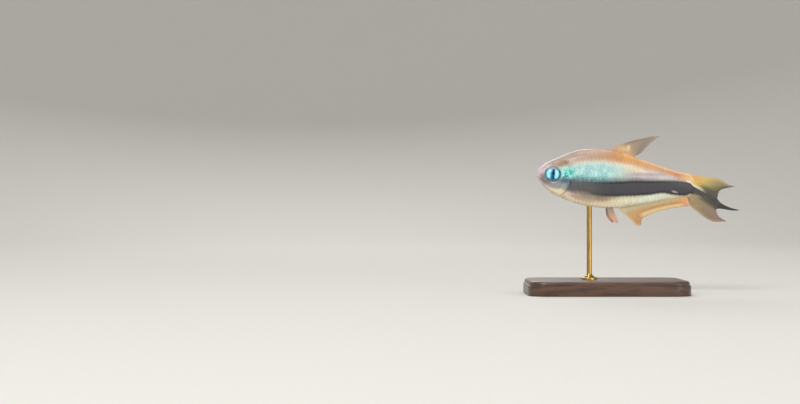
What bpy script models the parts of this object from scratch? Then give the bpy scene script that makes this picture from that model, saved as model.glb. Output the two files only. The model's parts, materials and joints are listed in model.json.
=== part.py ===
"""An emperor tetra (Nematobrycon palmeri), a grown male, as a still life-size model on a small display stand.

The fish is modelled in its own frame, x back from the tip of the snout, y to its right and z up, and then
pitched nose-up on the stand. The row frame has +Z up and its origin under the middle of the stand's base.
"""

import math

import bmesh
import bpy
import numpy as np
from mathutils import Matrix, Vector

# Driving sizes, in metres
MM = 0.001
STANDARD_LENGTH = 42.0 * MM
GAP = 0.3 * MM
NOSE_UP = math.radians(5.45)
TAIL_SWING = 1.9 * MM
SWING_START = 20.0 * MM
SWING_END = 55.0 * MM

# Stand
BASE_LENGTH = 44.0 * MM
BASE_WIDTH = 25.0 * MM
BASE_HEIGHT = 4.0 * MM
BASE_CORNER = 5.0 * MM
BASE_BEVEL = 0.8 * MM
ROD_RADIUS = 0.7 * MM
ROD_FOOT_RADIUS = 2.2 * MM
ROD_FOOT_HEIGHT = 0.7 * MM
ROD_SIDES = 24
ROD_STATION = 15.2 * MM
BELLY_CLEARANCE = 20.0 * MM
BALANCE_STATION = 19.0 * MM

# Outlines of the body, in millimetres: x from the snout, then the height or the half width there
BACK_LINE = (
    (0.0, 0.0), (0.2, 1.3), (0.7, 2.0), (2.0, 3.1), (4.6, 4.75), (8.5, 6.85), (11.2, 7.85),
    (14.0, 8.4), (19.4, 8.8), (22.2, 8.35), (25.6, 7.5), (33.5, 5.62), (39.1, 4.45), (42.0, 4.15),
)
BELLY_LINE = (
    (0.0, 0.0), (0.15, -0.85), (0.75, -1.5), (1.4, -2.15), (2.6, -3.25), (4.1, -4.35), (5.6, -5.15),
    (8.4, -6.13), (11.2, -6.88), (15.4, -7.45), (19.5, -7.5), (23.1, -7.1), (29.1, -5.7), (34.4, -4.2),
    (39.8, -2.75), (42.0, -2.3),
)
HALF_WIDTH = (
    (0.0, 0.0), (0.2, 0.85), (0.7, 1.25), (2.0, 1.75), (4.3, 2.3), (7.0, 2.72), (9.3, 2.9), (13.0, 3.05),
    (18.0, 2.9), (24.0, 2.45), (30.0, 1.88), (36.0, 1.3), (40.0, 0.88), (42.0, 0.62),
)
WIDEST_HEIGHT = (
    (0.0, 0.0), (1.0, 0.15), (4.0, 0.6), (9.0, 0.6), (15.0, 0.2), (24.0, 0.3), (34.0, 1.1), (42.0, 0.95),
)
ROUNDNESS = ((0.0, 2.0), (3.0, 2.1), (9.0, 2.2), (20.0, 2.15), (28.0, 1.95), (42.0, 1.9))
RING_SIDES = 36
BODY_STATIONS = 50
STATION_CROWDING = 1.5

# Where the body is parted
CUT_REACH = 8.0 * MM
ARC_SIDES = 72
GILL_ARC_CENTRE = (3.4 * MM, -0.4 * MM)
GILL_ARC_RADIUS = 5.95 * MM
GILL_ARC_TOP = math.radians(48.0)
CHEEK_ARC_CENTRE = (1.9 * MM, 0.0 * MM)
CHEEK_ARC_RADIUS = 5.2 * MM
CHEEK_ARC_TOP = math.radians(43.0)
COVER_ARC_BOTTOM = math.radians(-76.0)
COVER_INNER_FACE = 1.4 * MM
HEAD_SWELL = 0.15 * MM
TAIL_STATION = 34.0 * MM

# Head
EYE_CENTRE = (4.2 * MM, 1.78 * MM, 0.43 * MM)
EYE_RADIUS = 2.03 * MM
EYE_HALF_DEPTH = 1.0 * MM
EYE_TOE_IN = math.radians(10.0)
MOUTH_LINE = ((0.0, -0.42), (1.0, -0.98), (2.35, -1.85))
MOUTH_CORNER = 2.35 * MM
MOUTH_SLIT = 0.16 * MM
LIP_OFFSET = 0.3 * MM
LIP_RADIUS = 0.24 * MM
NOSTRILS = ((1.55 * MM, 1.75 * MM), (2.1 * MM, 2.05 * MM))
NOSTRIL_RADIUS = 0.24 * MM

# Fins
MEMBRANE_HALF = 0.25 * MM
MARGIN_HALF = 0.16 * MM
RAY_HALF_ROOT = 0.42 * MM
RAY_HALF_TIP = 0.24 * MM
DORSAL_BASE = (20.0, 25.9)
ANAL_BASE = (23.3, 41.4)
TAIL_FIN_ROOT = STANDARD_LENGTH + GAP
PELVIC_SPREAD = 0.75 * MM
PELVIC_LEAN = math.radians(9.0)
PECTORAL_PLACE = (10.2 * MM, -4.2 * MM)
PECTORAL_SPLAY = math.radians(24.0)
PECTORAL_DROOP = math.radians(10.0)
PECTORAL_ROLL = math.radians(20.0)


def through(points, x):
    """The value at x of a smooth curve through points that never overshoots them."""
    xs = [p[0] for p in points]
    ys = [p[1] for p in points]
    last = len(xs) - 1
    x = min(max(x, xs[0]), xs[last])
    k = min(max(sum(1 for value in xs if value <= x) - 1, 0), last - 1)

    def step(i):
        return (ys[i + 1] - ys[i]) / (xs[i + 1] - xs[i])

    def slope(i):
        if i in (0, last):
            return step(min(i, last - 1))
        before, after = step(i - 1), step(i)
        return 0.0 if before * after <= 0 else 2 * before * after / (before + after)

    width = xs[k + 1] - xs[k]
    t = (x - xs[k]) / width
    return (
        ys[k] * (1 + 2 * t) * (1 - t) ** 2
        + ys[k + 1] * t * t * (3 - 2 * t)
        + width * (slope(k) * t * (1 - t) ** 2 + slope(k + 1) * t * t * (t - 1))
    )


def outline(points, x):
    """Height or half width of the body at x metres. The square root rounds the tip of the snout."""
    rooted = [(math.sqrt(px), py) for px, py in points]
    return through(rooted, math.sqrt(max(x, 0.0) / MM)) * MM


def back(x):
    return outline(BACK_LINE, x)


def belly(x):
    return outline(BELLY_LINE, x)


def side_at(x, z):
    """Half width of the body at a place on its side, on the same curve as the rings."""
    middle = outline(WIDEST_HEIGHT, x)
    reach = back(x) - middle if z > middle else middle - belly(x)
    share = min(abs(z - middle) / max(reach, 1e-9), 1.0)
    power = outline(ROUNDNESS, x) / MM
    return outline(HALF_WIDTH, x) * (1 - share**power) ** (1 / power)


def path_through(points, t):
    """A point at share t of the length of a smooth plane curve through points, in metres."""
    steps = [math.dist(a, b) for a, b in zip(points, points[1:])]
    at = np.concatenate([[0.0], np.cumsum(steps)]) / sum(steps)
    return Vector(
        [through([(s, p[axis]) for s, p in zip(at, points)], t) * MM for axis in (0, 1)]
    )


def swung(x):
    """How far the lightly bent tail stands to the side at x."""
    share = max(x - SWING_START, 0.0) / (SWING_END - SWING_START)
    return TAIL_SWING * share**2


def material(name, colour, roughness=0.4, metallic=0.0):
    made = bpy.data.materials.new(name)
    made.use_nodes = True
    shader = made.node_tree.nodes["Principled BSDF"]
    shader.inputs["Base Color"].default_value = (*colour, 1.0)
    shader.inputs["Roughness"].default_value = roughness
    shader.inputs["Metallic"].default_value = metallic
    made.diffuse_color = (*colour, 1.0)
    return made


def object_from(name, points, faces):
    mesh = bpy.data.meshes.new(name)
    mesh.from_pydata([tuple(p) for p in points], [], faces)
    mesh.validate()
    made = bpy.data.objects.new(name, mesh)
    bpy.context.scene.collection.objects.link(made)
    return made


def object_from_bmesh(name, shape):
    mesh = bpy.data.meshes.new(name)
    shape.to_mesh(mesh)
    shape.free()
    made = bpy.data.objects.new(name, mesh)
    bpy.context.scene.collection.objects.link(made)
    return made


def combined(target, others, operation):
    """Applies a Boolean of target with closed mesh objects, and removes them."""
    for other in others:
        modifier = target.modifiers.new(operation.title(), "BOOLEAN")
        modifier.operation = operation
        modifier.object = other
        modifier.solver = "EXACT"
    graph = bpy.context.evaluated_depsgraph_get()
    mesh = bpy.data.meshes.new_from_object(target.evaluated_get(graph))
    target.modifiers.clear()
    target.data = mesh
    for other in others:
        bpy.data.objects.remove(other)
    keep_largest(target)
    return target


def keep_largest(obj):
    """Drops every loose scrap that a cut has left, so that one closed surface stays."""
    shape = bmesh.new()
    shape.from_mesh(obj.data)
    shape.verts.ensure_lookup_table()
    left = set(shape.verts)
    groups = []
    while left:
        group, open_ends = set(), [left.pop()]
        while open_ends:
            vert = open_ends.pop()
            group.add(vert)
            for edge in vert.link_edges:
                other = edge.other_vert(vert)
                if other in left:
                    left.remove(other)
                    open_ends.append(other)
        groups.append(group)
    groups.sort(key=len)
    for group in groups[:-1]:
        bmesh.ops.delete(shape, geom=list(group), context="VERTS")
    shape.to_mesh(obj.data)
    shape.free()


def body_loft(name, swell=0.0, grow=0.0):
    """The whole body as one closed skin of rings from snout to tail root.

    swell widens it and grow lifts the skin all round.
    """
    points = [(-grow, 0.0, 0.0)]
    for i in range(1, BODY_STATIONS + 1):
        x = STANDARD_LENGTH * (i / BODY_STATIONS) ** STATION_CROWDING
        middle = outline(WIDEST_HEIGHT, x)
        power = outline(ROUNDNESS, x) / MM
        wide = outline(HALF_WIDTH, x) + swell * min(x / (2 * MM), 1.0) + grow
        for side in range(RING_SIDES):
            turn = 2 * math.pi * side / RING_SIDES
            up, out = math.cos(turn), math.sin(turn)
            reach = back(x) - middle if up > 0 else middle - belly(x)
            z = middle + math.copysign(abs(up) ** (2 / power), up) * (reach + grow)
            y = math.copysign(abs(out) ** (2 / power), out) * wide
            points.append((x, y, z))
    faces = []
    for side in range(RING_SIDES):
        after = (side + 1) % RING_SIDES
        faces.append((0, 1 + side, 1 + after))
        for ring in range(BODY_STATIONS - 1):
            a = 1 + ring * RING_SIDES
            b = a + RING_SIDES
            faces.append((a + side, b + side, b + after, a + after))
    last = 1 + (BODY_STATIONS - 1) * RING_SIDES
    faces.append(tuple(last + side for side in range(RING_SIDES)))
    made = object_from(name, points, faces)
    shape = bmesh.new()
    shape.from_mesh(made.data)
    bmesh.ops.recalc_face_normals(shape, faces=shape.faces)
    shape.to_mesh(made.data)
    shape.free()
    return made


def cylinder_across(name, centre, radius):
    """A closed cylinder whose axis runs across the fish."""
    shape = bmesh.new()
    bmesh.ops.create_cone(
        shape, cap_ends=True, segments=ARC_SIDES, radius1=radius, radius2=radius, depth=2 * CUT_REACH,
        matrix=Matrix.Translation((centre[0], 0.0, centre[1])) @ Matrix.Rotation(math.pi / 2, 4, "X"),
    )
    return object_from_bmesh(name, shape)


def slab_across(name, front, rear):
    """A closed box across and beyond the body between two stations."""
    corners = ((front, -2 * CUT_REACH), (rear, -2 * CUT_REACH), (rear, 2 * CUT_REACH), (front, 2 * CUT_REACH))
    return prism(name, corners, -CUT_REACH, CUT_REACH)


def arc(centre, radius, start, end, steps):
    """Points along a circle in the plane of the flank."""
    turns = np.linspace(start, end, steps)
    return [(centre[0] + radius * math.cos(t), centre[1] + radius * math.sin(t)) for t in turns]


def prism(name, outline_points, low_y, high_y):
    """A closed block with an outline in the plane of the flank, between two planes."""
    shape = bmesh.new()
    near = [shape.verts.new((x, low_y, z)) for x, z in outline_points]
    far = [shape.verts.new((x, high_y, z)) for x, z in outline_points]
    shape.faces.new(near)
    shape.faces.new(far[::-1])
    for i in range(len(near)):
        after = (i + 1) % len(near)
        shape.faces.new((near[i], far[i], far[after], near[after]))
    bmesh.ops.recalc_face_normals(shape, faces=shape.faces)
    return object_from_bmesh(name, shape)


def gill_cover_blank(name, side, grow):
    """The gill cover's crescent on one side, from the cheek's arc to the gill opening's, larger by grow."""
    swell = 2 * grow
    outer = arc(GILL_ARC_CENTRE, GILL_ARC_RADIUS - GAP / 2 + swell, COVER_ARC_BOTTOM, GILL_ARC_TOP, 26)
    inner = arc(CHEEK_ARC_CENTRE, CHEEK_ARC_RADIUS - grow, CHEEK_ARC_TOP, COVER_ARC_BOTTOM, 22)
    hinge = ((outer[-1][0] + inner[0][0]) / 2, (outer[-1][1] + inner[0][1]) / 2)
    start = math.atan2(outer[-1][1] - hinge[1], outer[-1][0] - hinge[0])
    cap = arc(hinge, math.dist(hinge, inner[0]), start, start + math.pi, 8)[1:-1]
    inner_face = side * (COVER_INNER_FACE - grow)
    return prism(name, outer + cap + inner, inner_face, side * CUT_REACH)


def eye_shape(name, side, grow=0.0, segments=24, rings=14):
    """A flattened ball set in the side of the head, larger by grow for its socket."""
    shape = bmesh.new()
    bmesh.ops.create_uvsphere(shape, u_segments=segments, v_segments=rings, radius=1.0)
    radius = EYE_RADIUS + grow
    depth = EYE_HALF_DEPTH + grow
    place = (
        Matrix.Translation((EYE_CENTRE[0], side * EYE_CENTRE[1], EYE_CENTRE[2]))
        @ Matrix.Rotation(side * EYE_TOE_IN, 4, "Z")
        @ Matrix.Diagonal((radius, depth, radius, 1.0))
        @ Matrix.Rotation(math.pi / 2, 4, "X")
    )
    bmesh.ops.transform(shape, matrix=place, verts=shape.verts)
    bmesh.ops.recalc_face_normals(shape, faces=shape.faces)
    return object_from_bmesh(name, shape)


def tube(name, centres, radii, sides=8):
    """A closed tube of varying radius along points."""
    shape = bmesh.new()
    rings = []
    for i, centre in enumerate(centres):
        ahead = (centres[min(i + 1, len(centres) - 1)] - centres[max(i - 1, 0)]).normalized()
        across = ahead.cross(Vector((0, 0, 1))).normalized()
        up = across.cross(ahead)
        ring = []
        for side in range(sides):
            turn = 2 * math.pi * side / sides
            ring.append(shape.verts.new(centre + radii[i] * (math.cos(turn) * across + math.sin(turn) * up)))
        rings.append(ring)
    for low, high in zip(rings, rings[1:]):
        for side in range(sides):
            after = (side + 1) % sides
            shape.faces.new((low[side], high[side], high[after], low[after]))
    shape.faces.new(rings[0])
    shape.faces.new(rings[-1][::-1])
    bmesh.ops.recalc_face_normals(shape, faces=shape.faces)
    return object_from_bmesh(name, shape)


def lip(name, direction):
    """The upper or lower lip: a soft roll along the mouth line, round the snout from corner to corner."""
    centres, radii = [], []
    half = 9
    for i in range(-half, half + 1):
        share = abs(i) / half
        x = 0.12 * MM + (MOUTH_CORNER - 0.1 * MM) * share**1.6
        z = through(MOUTH_LINE, x / MM) * MM + direction * LIP_OFFSET * (1 - 0.5 * share)
        y = math.copysign(side_at(x, z) - 0.3 * LIP_RADIUS, i) if i else 0.0
        centres.append(Vector((x if i else x - 0.05 * MM, y, z)))
        radii.append(LIP_RADIUS * (1 - 0.45 * share**2))
    return tube(name, centres, radii)


def mouth_slit():
    """A thin wedge across the snout that opens the line of the mouth."""
    front = (-1.5, MOUTH_LINE[0][1] + 0.55)
    line = (front, *MOUTH_LINE)
    halves = (1.6, 1.2, 1.0, 0.5)
    profile = [(x, z + half * MOUTH_SLIT / MM) for (x, z), half in zip(line, halves)]
    profile += [(x, z - half * MOUTH_SLIT / MM) for (x, z), half in reversed(list(zip(line, halves)))]
    return prism("mouth_slit", [(x * MM, z * MM) for x, z in profile], -CUT_REACH, CUT_REACH)


def nostril(name, x, z, side):
    shape = bmesh.new()
    place = Matrix.Translation((x, side * (side_at(x, z) + HEAD_SWELL), z))
    bmesh.ops.create_icosphere(shape, subdivisions=1, radius=NOSTRIL_RADIUS, matrix=place)
    return object_from_bmesh(name, shape)


def head():
    made = body_loft("head", HEAD_SWELL)
    region = cylinder_across("head_region", GILL_ARC_CENTRE, GILL_ARC_RADIUS - GAP / 2)
    combined(made, [region], "INTERSECT")
    combined(made, [lip("upper_lip", 1), lip("lower_lip", -1)], "UNION")
    cutters = [mouth_slit()]
    for side in (-1, 1):
        cutters.append(eye_shape(f"socket_{side}", side, grow=GAP))
        cutters.append(gill_cover_blank(f"cover_pocket_{side}", side, GAP))
        for n, (x, z) in enumerate(NOSTRILS):
            cutters.append(nostril(f"nostril_{side}_{n}", x, z, side))
    return combined(made, cutters, "DIFFERENCE")


def gill_cover(name, side):
    made = body_loft(name, HEAD_SWELL)
    return combined(made, [gill_cover_blank(name + "_blank", side, 0.0)], "INTERSECT")


def torso():
    made = body_loft("torso")
    front = cylinder_across("torso_front", GILL_ARC_CENTRE, GILL_ARC_RADIUS + GAP / 2)
    snout = slab_across("torso_snout", -CUT_REACH, GILL_ARC_CENTRE[0])
    rear = slab_across("torso_rear", TAIL_STATION - GAP / 2, STANDARD_LENGTH + CUT_REACH)
    return combined(made, [front, snout, rear], "DIFFERENCE")


def tail_stalk():
    made = body_loft("tail_stalk")
    front = slab_across("stalk_front", -CUT_REACH, TAIL_STATION + GAP / 2)
    return combined(made, [front], "DIFFERENCE")


def fin_patch(lead, trail, root, margin, u, s):
    """A point of a fin: u runs from its leading to its trailing ray, and s from root to margin."""
    return (
        (1 - u) * lead(s) + u * trail(s) + (1 - s) * root(u) + s * margin(u)
        - (1 - u) * (1 - s) * root(0) - u * (1 - s) * root(1)
        - (1 - u) * s * margin(0) - u * s * margin(1)
    )


def fin(name, lead, trail, root, margin, rays, rows, place=None, scallop=0.12 * MM):
    """A closed fin: a membrane with a ridge along each ray, split into triangles alike on both faces.

    lead, trail, root and margin are plane curves as functions of a share. place puts the plane in the fish.
    """
    place = place or Matrix.Identity(4)
    columns = 2 * rays - 1
    left, right = [], []
    for column in range(columns):
        u = column / (columns - 1)
        is_ray = column % 2 == 0
        for row in range(rows + 1):
            s = row / rows
            at = fin_patch(lead, trail, root, margin, u, s)
            if not is_ray and row == rows:
                inner = fin_patch(lead, trail, root, margin, u, (row - 1) / rows)
                at = at + (inner - at).normalized() * min(scallop, 0.5 * (inner - at).length)
            ridge = RAY_HALF_ROOT + (RAY_HALF_TIP - RAY_HALF_ROOT) * s
            web = MEMBRANE_HALF if row < rows else MARGIN_HALF
            half = ridge if is_ray else web
            left.append(place @ Vector((at.x, -half, at.y)))
            right.append(place @ Vector((at.x, half, at.y)))
    step = rows + 1
    count = columns * step
    faces = []
    for column in range(columns - 1):
        for row in range(rows):
            a = column * step + row
            b, c, d = a + step, a + step + 1, a + 1
            corners = ((a, b, c), (a, c, d)) if column % 2 else ((a, b, d), (b, c, d))
            for tri in corners:
                faces.append(tri)
                faces.append(tuple(count + i for i in reversed(tri)))
    rim = [column * step for column in range(columns)]
    rim += [(columns - 1) * step + row for row in range(1, step)]
    rim += [column * step + rows for column in range(columns - 2, -1, -1)]
    rim += [row for row in range(rows - 1, 0, -1)]
    for i, a in enumerate(rim):
        b = rim[(i + 1) % len(rim)]
        faces.append((a, count + a, count + b))
        faces.append((a, count + b, b))
    made = object_from(name, left + right, faces)
    shape = bmesh.new()
    shape.from_mesh(made.data)
    bmesh.ops.recalc_face_normals(shape, faces=shape.faces)
    shape.to_mesh(made.data)
    shape.free()
    return made


def curve(*points):
    """A plane curve through points in millimetres, as a function of a share."""
    return lambda t: path_through(points, t)


def along_outline(line, base, lift):
    """The root of a fin: a line that follows the back or the belly at a gap."""
    def root(u):
        x = (base[0] + (base[1] - base[0]) * u) * MM
        slope = (line(x + 0.1 * MM) - line(x - 0.1 * MM)) / (0.2 * MM)
        away = Vector((-slope, 1.0)).normalized() * lift
        return Vector((x, line(x))) + away
    return root


def joined(start, *points):
    """A plane curve that starts on a fin's root and goes on through points in millimetres."""
    first = (start.x / MM, start.y / MM)
    return curve(first, *points)


def dorsal_fin():
    root = along_outline(back, DORSAL_BASE, GAP)
    apex = (32.9, 13.75)
    heel = (27.2, 8.0)
    lead = joined(root(0), (22.7, 10.6), (25.1, 11.65), (27.8, 12.55), (30.5, 13.35), apex)
    trail = joined(root(1), (26.6, 7.85), heel)
    margin = curve(apex, (30.75, 11.95), (29.3, 10.2), (28.0, 8.6), heel)
    return fin("dorsal_fin", lead, trail, root, margin, rays=11, rows=8)


def anal_fin():
    root = along_outline(belly, ANAL_BASE, -GAP)
    lobe = (28.6, -11.3)
    heel = (42.3, -4.65)
    lead = joined(root(0), (25.1, -8.6), (26.9, -10.0), lobe)
    trail = joined(root(1), (41.9, -3.7), heel)
    margin = curve(
        lobe, (29.3, -11.45), (29.85, -11.1), (29.8, -9.6), (30.75, -8.8), (32.05, -8.0), (34.0, -7.05),
        (37.35, -5.9), (40.0, -5.2), heel,
    )
    return fin("anal_fin", lead, trail, root, margin, rays=25, rows=5)


def root_line(top, bottom):
    """A piece of the tail fin's root, down the end of the tail stalk."""
    return lambda u: Vector((TAIL_FIN_ROOT, (top + (bottom - top) * u) * MM))


UPPER_SEAM = ((43.5, 0.72), (45.2, -0.1), (46.9, -0.85), (50.35, -2.0))
LOWER_SEAM = ((43.5, -1.3), (44.9, -1.45), (46.9, -2.25), (49.4, -3.55), (50.3, -4.75))
SEAM_HALF = GAP / 2 / MM


def shifted(points, dz):
    return [(x, z + dz) for x, z in points]


def tail_fin_upper():
    root = root_line(3.95, 1.5)
    tip = (54.6, 1.8)
    lead = joined(
        root(0), (44.7, 3.9), (46.8, 3.76), (48.9, 3.8), (50.3, 3.6), (51.7, 3.02), (53.1, 2.3), tip
    )
    seam = shifted(UPPER_SEAM, SEAM_HALF)
    trail = joined(root(1), *seam)
    margin = curve(tip, (53.2, 1.45), (51.9, 1.0), (51.0, 0.5), (50.55, -0.3), seam[-1])
    return fin("tail_fin_upper", lead, trail, root, margin, rays=10, rows=9)


def tail_fin_middle():
    root = root_line(1.2, -1.2)
    tip, under_tip = (56.9, -4.4), (56.8, -4.7)
    upper, lower = shifted(UPPER_SEAM, -SEAM_HALF), shifted(LOWER_SEAM, SEAM_HALF)
    lead = joined(root(0), *upper, (51.3, -2.85), (52.9, -3.6), (54.8, -4.15), tip)
    trail = joined(root(1), *lower, (51.2, -4.55), (52.8, -4.6), (54.8, -4.72), under_tip)
    margin = curve(tip, under_tip)
    return fin("tail_fin_middle", lead, trail, root, margin, rays=5, rows=14, scallop=0.02 * MM)


def tail_fin_lower():
    root = root_line(-1.5, -2.2)
    tip = (53.2, -7.8)
    seam = shifted(LOWER_SEAM, -SEAM_HALF)
    lead = joined(root(0), *seam)
    trail = joined(
        root(1), (42.75, -3.6), (43.3, -4.75), (44.3, -5.45), (45.7, -6.35), (47.2, -7.28), (48.6, -7.95),
        (50.0, -8.28), (51.4, -8.2), tip,
    )
    margin = curve(seam[-1], (50.45, -5.5), (51.0, -6.5), (51.85, -7.1), tip)
    return fin("tail_fin_lower", lead, trail, root, margin, rays=10, rows=9)


def trimmed(blade):
    """Cuts a fin's root back to the body's skin, at the gap."""
    return combined(blade, [body_loft(blade.name + "_body", grow=GAP)], "DIFFERENCE")


def pelvic_fin(name, side, forward):
    """A narrow fin under the belly, in a plane that leans out from the keel."""
    front, rear, inside = 19.7, 21.4, -6.6
    tip, heel = (23.1 - forward, -11.3), (23.3 - forward, -10.95)
    lead = curve((front, inside), (20.6 - 0.4 * forward, -9.3), (22.0 - 0.8 * forward, -10.75), tip)
    trail = curve((rear, inside), (22.2 - 0.4 * forward, -8.6), (22.95 - 0.8 * forward, -9.9), heel)
    root = curve((front, inside), (rear, inside))
    margin = curve(tip, heel)
    hinge = Vector((0.0, side * PELVIC_SPREAD, belly(front * MM)))
    place = (
        Matrix.Translation(hinge)
        @ Matrix.Rotation(side * PELVIC_LEAN, 4, "X")
        @ Matrix.Translation((0.0, 0.0, -hinge.z))
    )
    return trimmed(fin(name, lead, trail, root, margin, rays=7, rows=7, place=place, scallop=0.04 * MM))


def pectoral_fin(name, side):
    """A clear fan low on the flank behind the gill cover, laid back and held a little off the body."""
    lead = curve((-1.2, 0.7), (1.2, 1.15), (4.0, 1.45), (6.9, 0.75))
    trail = curve((-1.2, -0.6), (1.2, -0.95), (4.3, -1.75))
    root = curve((-1.2, 0.7), (-1.2, -0.6))
    margin = curve((6.9, 0.75), (6.75, 0.0), (5.9, -1.0), (4.3, -1.75))
    hinge = Vector((PECTORAL_PLACE[0], side * side_at(*PECTORAL_PLACE), PECTORAL_PLACE[1]))
    place = (
        Matrix.Translation(hinge)
        @ Matrix.Rotation(side * PECTORAL_SPLAY, 4, "Z")
        @ Matrix.Rotation(PECTORAL_DROOP, 4, "Y")
        @ Matrix.Rotation(-side * PECTORAL_ROLL, 4, "X")
    )
    return trimmed(fin(name, lead, trail, root, margin, rays=9, rows=8, place=place))


def stand_base():
    """A plate with round corners and a softened top edge."""
    shape = bmesh.new()
    reach_x, reach_y = BASE_LENGTH / 2 - BASE_CORNER, BASE_WIDTH / 2 - BASE_CORNER
    corners = []
    centres = ((reach_x, reach_y), (-reach_x, reach_y), (-reach_x, -reach_y), (reach_x, -reach_y))
    for quarter, (cx, cy) in enumerate(centres):
        start = quarter * math.pi / 2
        corners += arc((cx, cy), BASE_CORNER, start, start + math.pi / 2, 7)
    floor = [shape.verts.new((x, y, 0.0)) for x, y in corners]
    top = [shape.verts.new((x, y, BASE_HEIGHT)) for x, y in corners]
    shape.faces.new(floor[::-1])
    shape.faces.new(top)
    for i in range(len(corners)):
        after = (i + 1) % len(corners)
        shape.faces.new((floor[i], floor[after], top[after], top[i]))
    rim = [e for e in shape.edges if all(v.co.z > BASE_HEIGHT / 2 for v in e.verts)]
    bmesh.ops.bevel(shape, geom=rim, offset=BASE_BEVEL, segments=3, affect="EDGES", profile=0.5)
    bmesh.ops.recalc_face_normals(shape, faces=shape.faces)
    return object_from_bmesh("stand_base", shape)


def stand_rod(x, low, high):
    """A slim turned rod with a spread foot on the base and a small rounded top under the belly."""
    foot, lip = ROD_FOOT_RADIUS, 0.25 * MM
    profile = [
        (foot, low), (foot, low + ROD_FOOT_HEIGHT - lip), (foot - lip, low + ROD_FOOT_HEIGHT),
        (ROD_RADIUS + 2 * lip, low + ROD_FOOT_HEIGHT + lip), (ROD_RADIUS, low + ROD_FOOT_HEIGHT + 3 * lip),
        (ROD_RADIUS, high - lip), (ROD_RADIUS - lip, high),
    ]
    shape = bmesh.new()
    rings = []
    for radius, z in profile:
        turns = [2 * math.pi * side / ROD_SIDES for side in range(ROD_SIDES)]
        rings.append([shape.verts.new((x + radius * math.cos(t), radius * math.sin(t), z)) for t in turns])
    for below, above in zip(rings, rings[1:]):
        for side in range(ROD_SIDES):
            after = (side + 1) % ROD_SIDES
            shape.faces.new((below[side], below[after], above[after], above[side]))
    shape.faces.new(rings[0][::-1])
    shape.faces.new(rings[-1])
    bmesh.ops.recalc_face_normals(shape, faces=shape.faces)
    return object_from_bmesh("stand_rod", shape)


def swing(obj):
    """Bends a piece to the side with the tail."""
    for vert in obj.data.vertices:
        vert.co.y += swung(vert.co.x)


def build():
    for old in list(bpy.data.objects):
        bpy.data.objects.remove(old)

    skin = material("fish_skin", (0.62, 0.50, 0.38), 0.35)
    cover = material("gill_cover_skin", (0.35, 0.70, 0.66), 0.3)
    eye = material("eye_blue", (0.10, 0.55, 0.75), 0.1)
    fin_orange = material("fin_membrane", (0.66, 0.42, 0.20), 0.4)
    fin_dark = material("tail_fin_black", (0.05, 0.05, 0.06), 0.4)
    fin_clear = material("clear_fin", (0.72, 0.66, 0.55), 0.4)
    wood = material("stand_wood", (0.10, 0.06, 0.04), 0.45)
    brass = material("stand_brass", (0.70, 0.52, 0.25), 0.3, 1.0)

    fish = bpy.data.objects.new("fish_pose", None)
    bpy.context.scene.collection.objects.link(fish)
    pieces = [
        (head(), skin), (torso(), skin), (tail_stalk(), skin),
        (gill_cover("gill_cover_left", -1), cover), (gill_cover("gill_cover_right", 1), cover),
        (eye_shape("eye_left", -1), eye), (eye_shape("eye_right", 1), eye),
        (dorsal_fin(), fin_orange), (anal_fin(), fin_orange),
        (tail_fin_upper(), fin_orange), (tail_fin_middle(), fin_dark), (tail_fin_lower(), fin_orange),
        (pelvic_fin("pelvic_fin_left", -1, 0.0), fin_orange),
        (pelvic_fin("pelvic_fin_right", 1, 0.9), fin_orange),
        (pectoral_fin("pectoral_fin_left", -1), fin_clear),
        (pectoral_fin("pectoral_fin_right", 1), fin_clear),
    ]
    for piece, finish in pieces:
        swing(piece)
        piece.data.materials.clear()
        piece.data.materials.append(finish)
        piece.data.shade_smooth()
        piece.data.set_sharp_from_angle(angle=math.radians(40.0))
        piece.parent = fish

    pitch = Matrix.Rotation(NOSE_UP, 4, "Y")
    rod_belly = pitch @ Vector((ROD_STATION, 0.0, belly(ROD_STATION)))
    balance = pitch @ Vector((BALANCE_STATION, 0.0, 0.0))
    lift = BASE_HEIGHT + BELLY_CLEARANCE - rod_belly.z
    fish.rotation_euler = (0.0, NOSE_UP, 0.0)
    fish.location = (-balance.x, 0.0, lift)

    base = stand_base()
    base.data.materials.append(wood)
    rod_x = rod_belly.x - balance.x
    rod = stand_rod(rod_x, BASE_HEIGHT + GAP, BASE_HEIGHT + BELLY_CLEARANCE - GAP)
    rod.data.materials.append(brass)
    rod.data.shade_smooth()
    rod.data.set_sharp_from_angle(angle=math.radians(40.0))


build()
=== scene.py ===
# %% [markdown]
# # A museum model of an emperor tetra
# The emperor tetra is a small, deep-bodied fish of shaded streams. This one is a grown male: he has a
# blue eye, a sickle-shaped back fin, a long fin under the tail and a tail fin with a dark streamer in its
# fork. The solids give his size and place. This script gives him skin, scales, clear fins, eyes and a
# finished stand. Everything is worked out in the fish's own millimetres and moved to the model at the
# very end.

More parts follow.
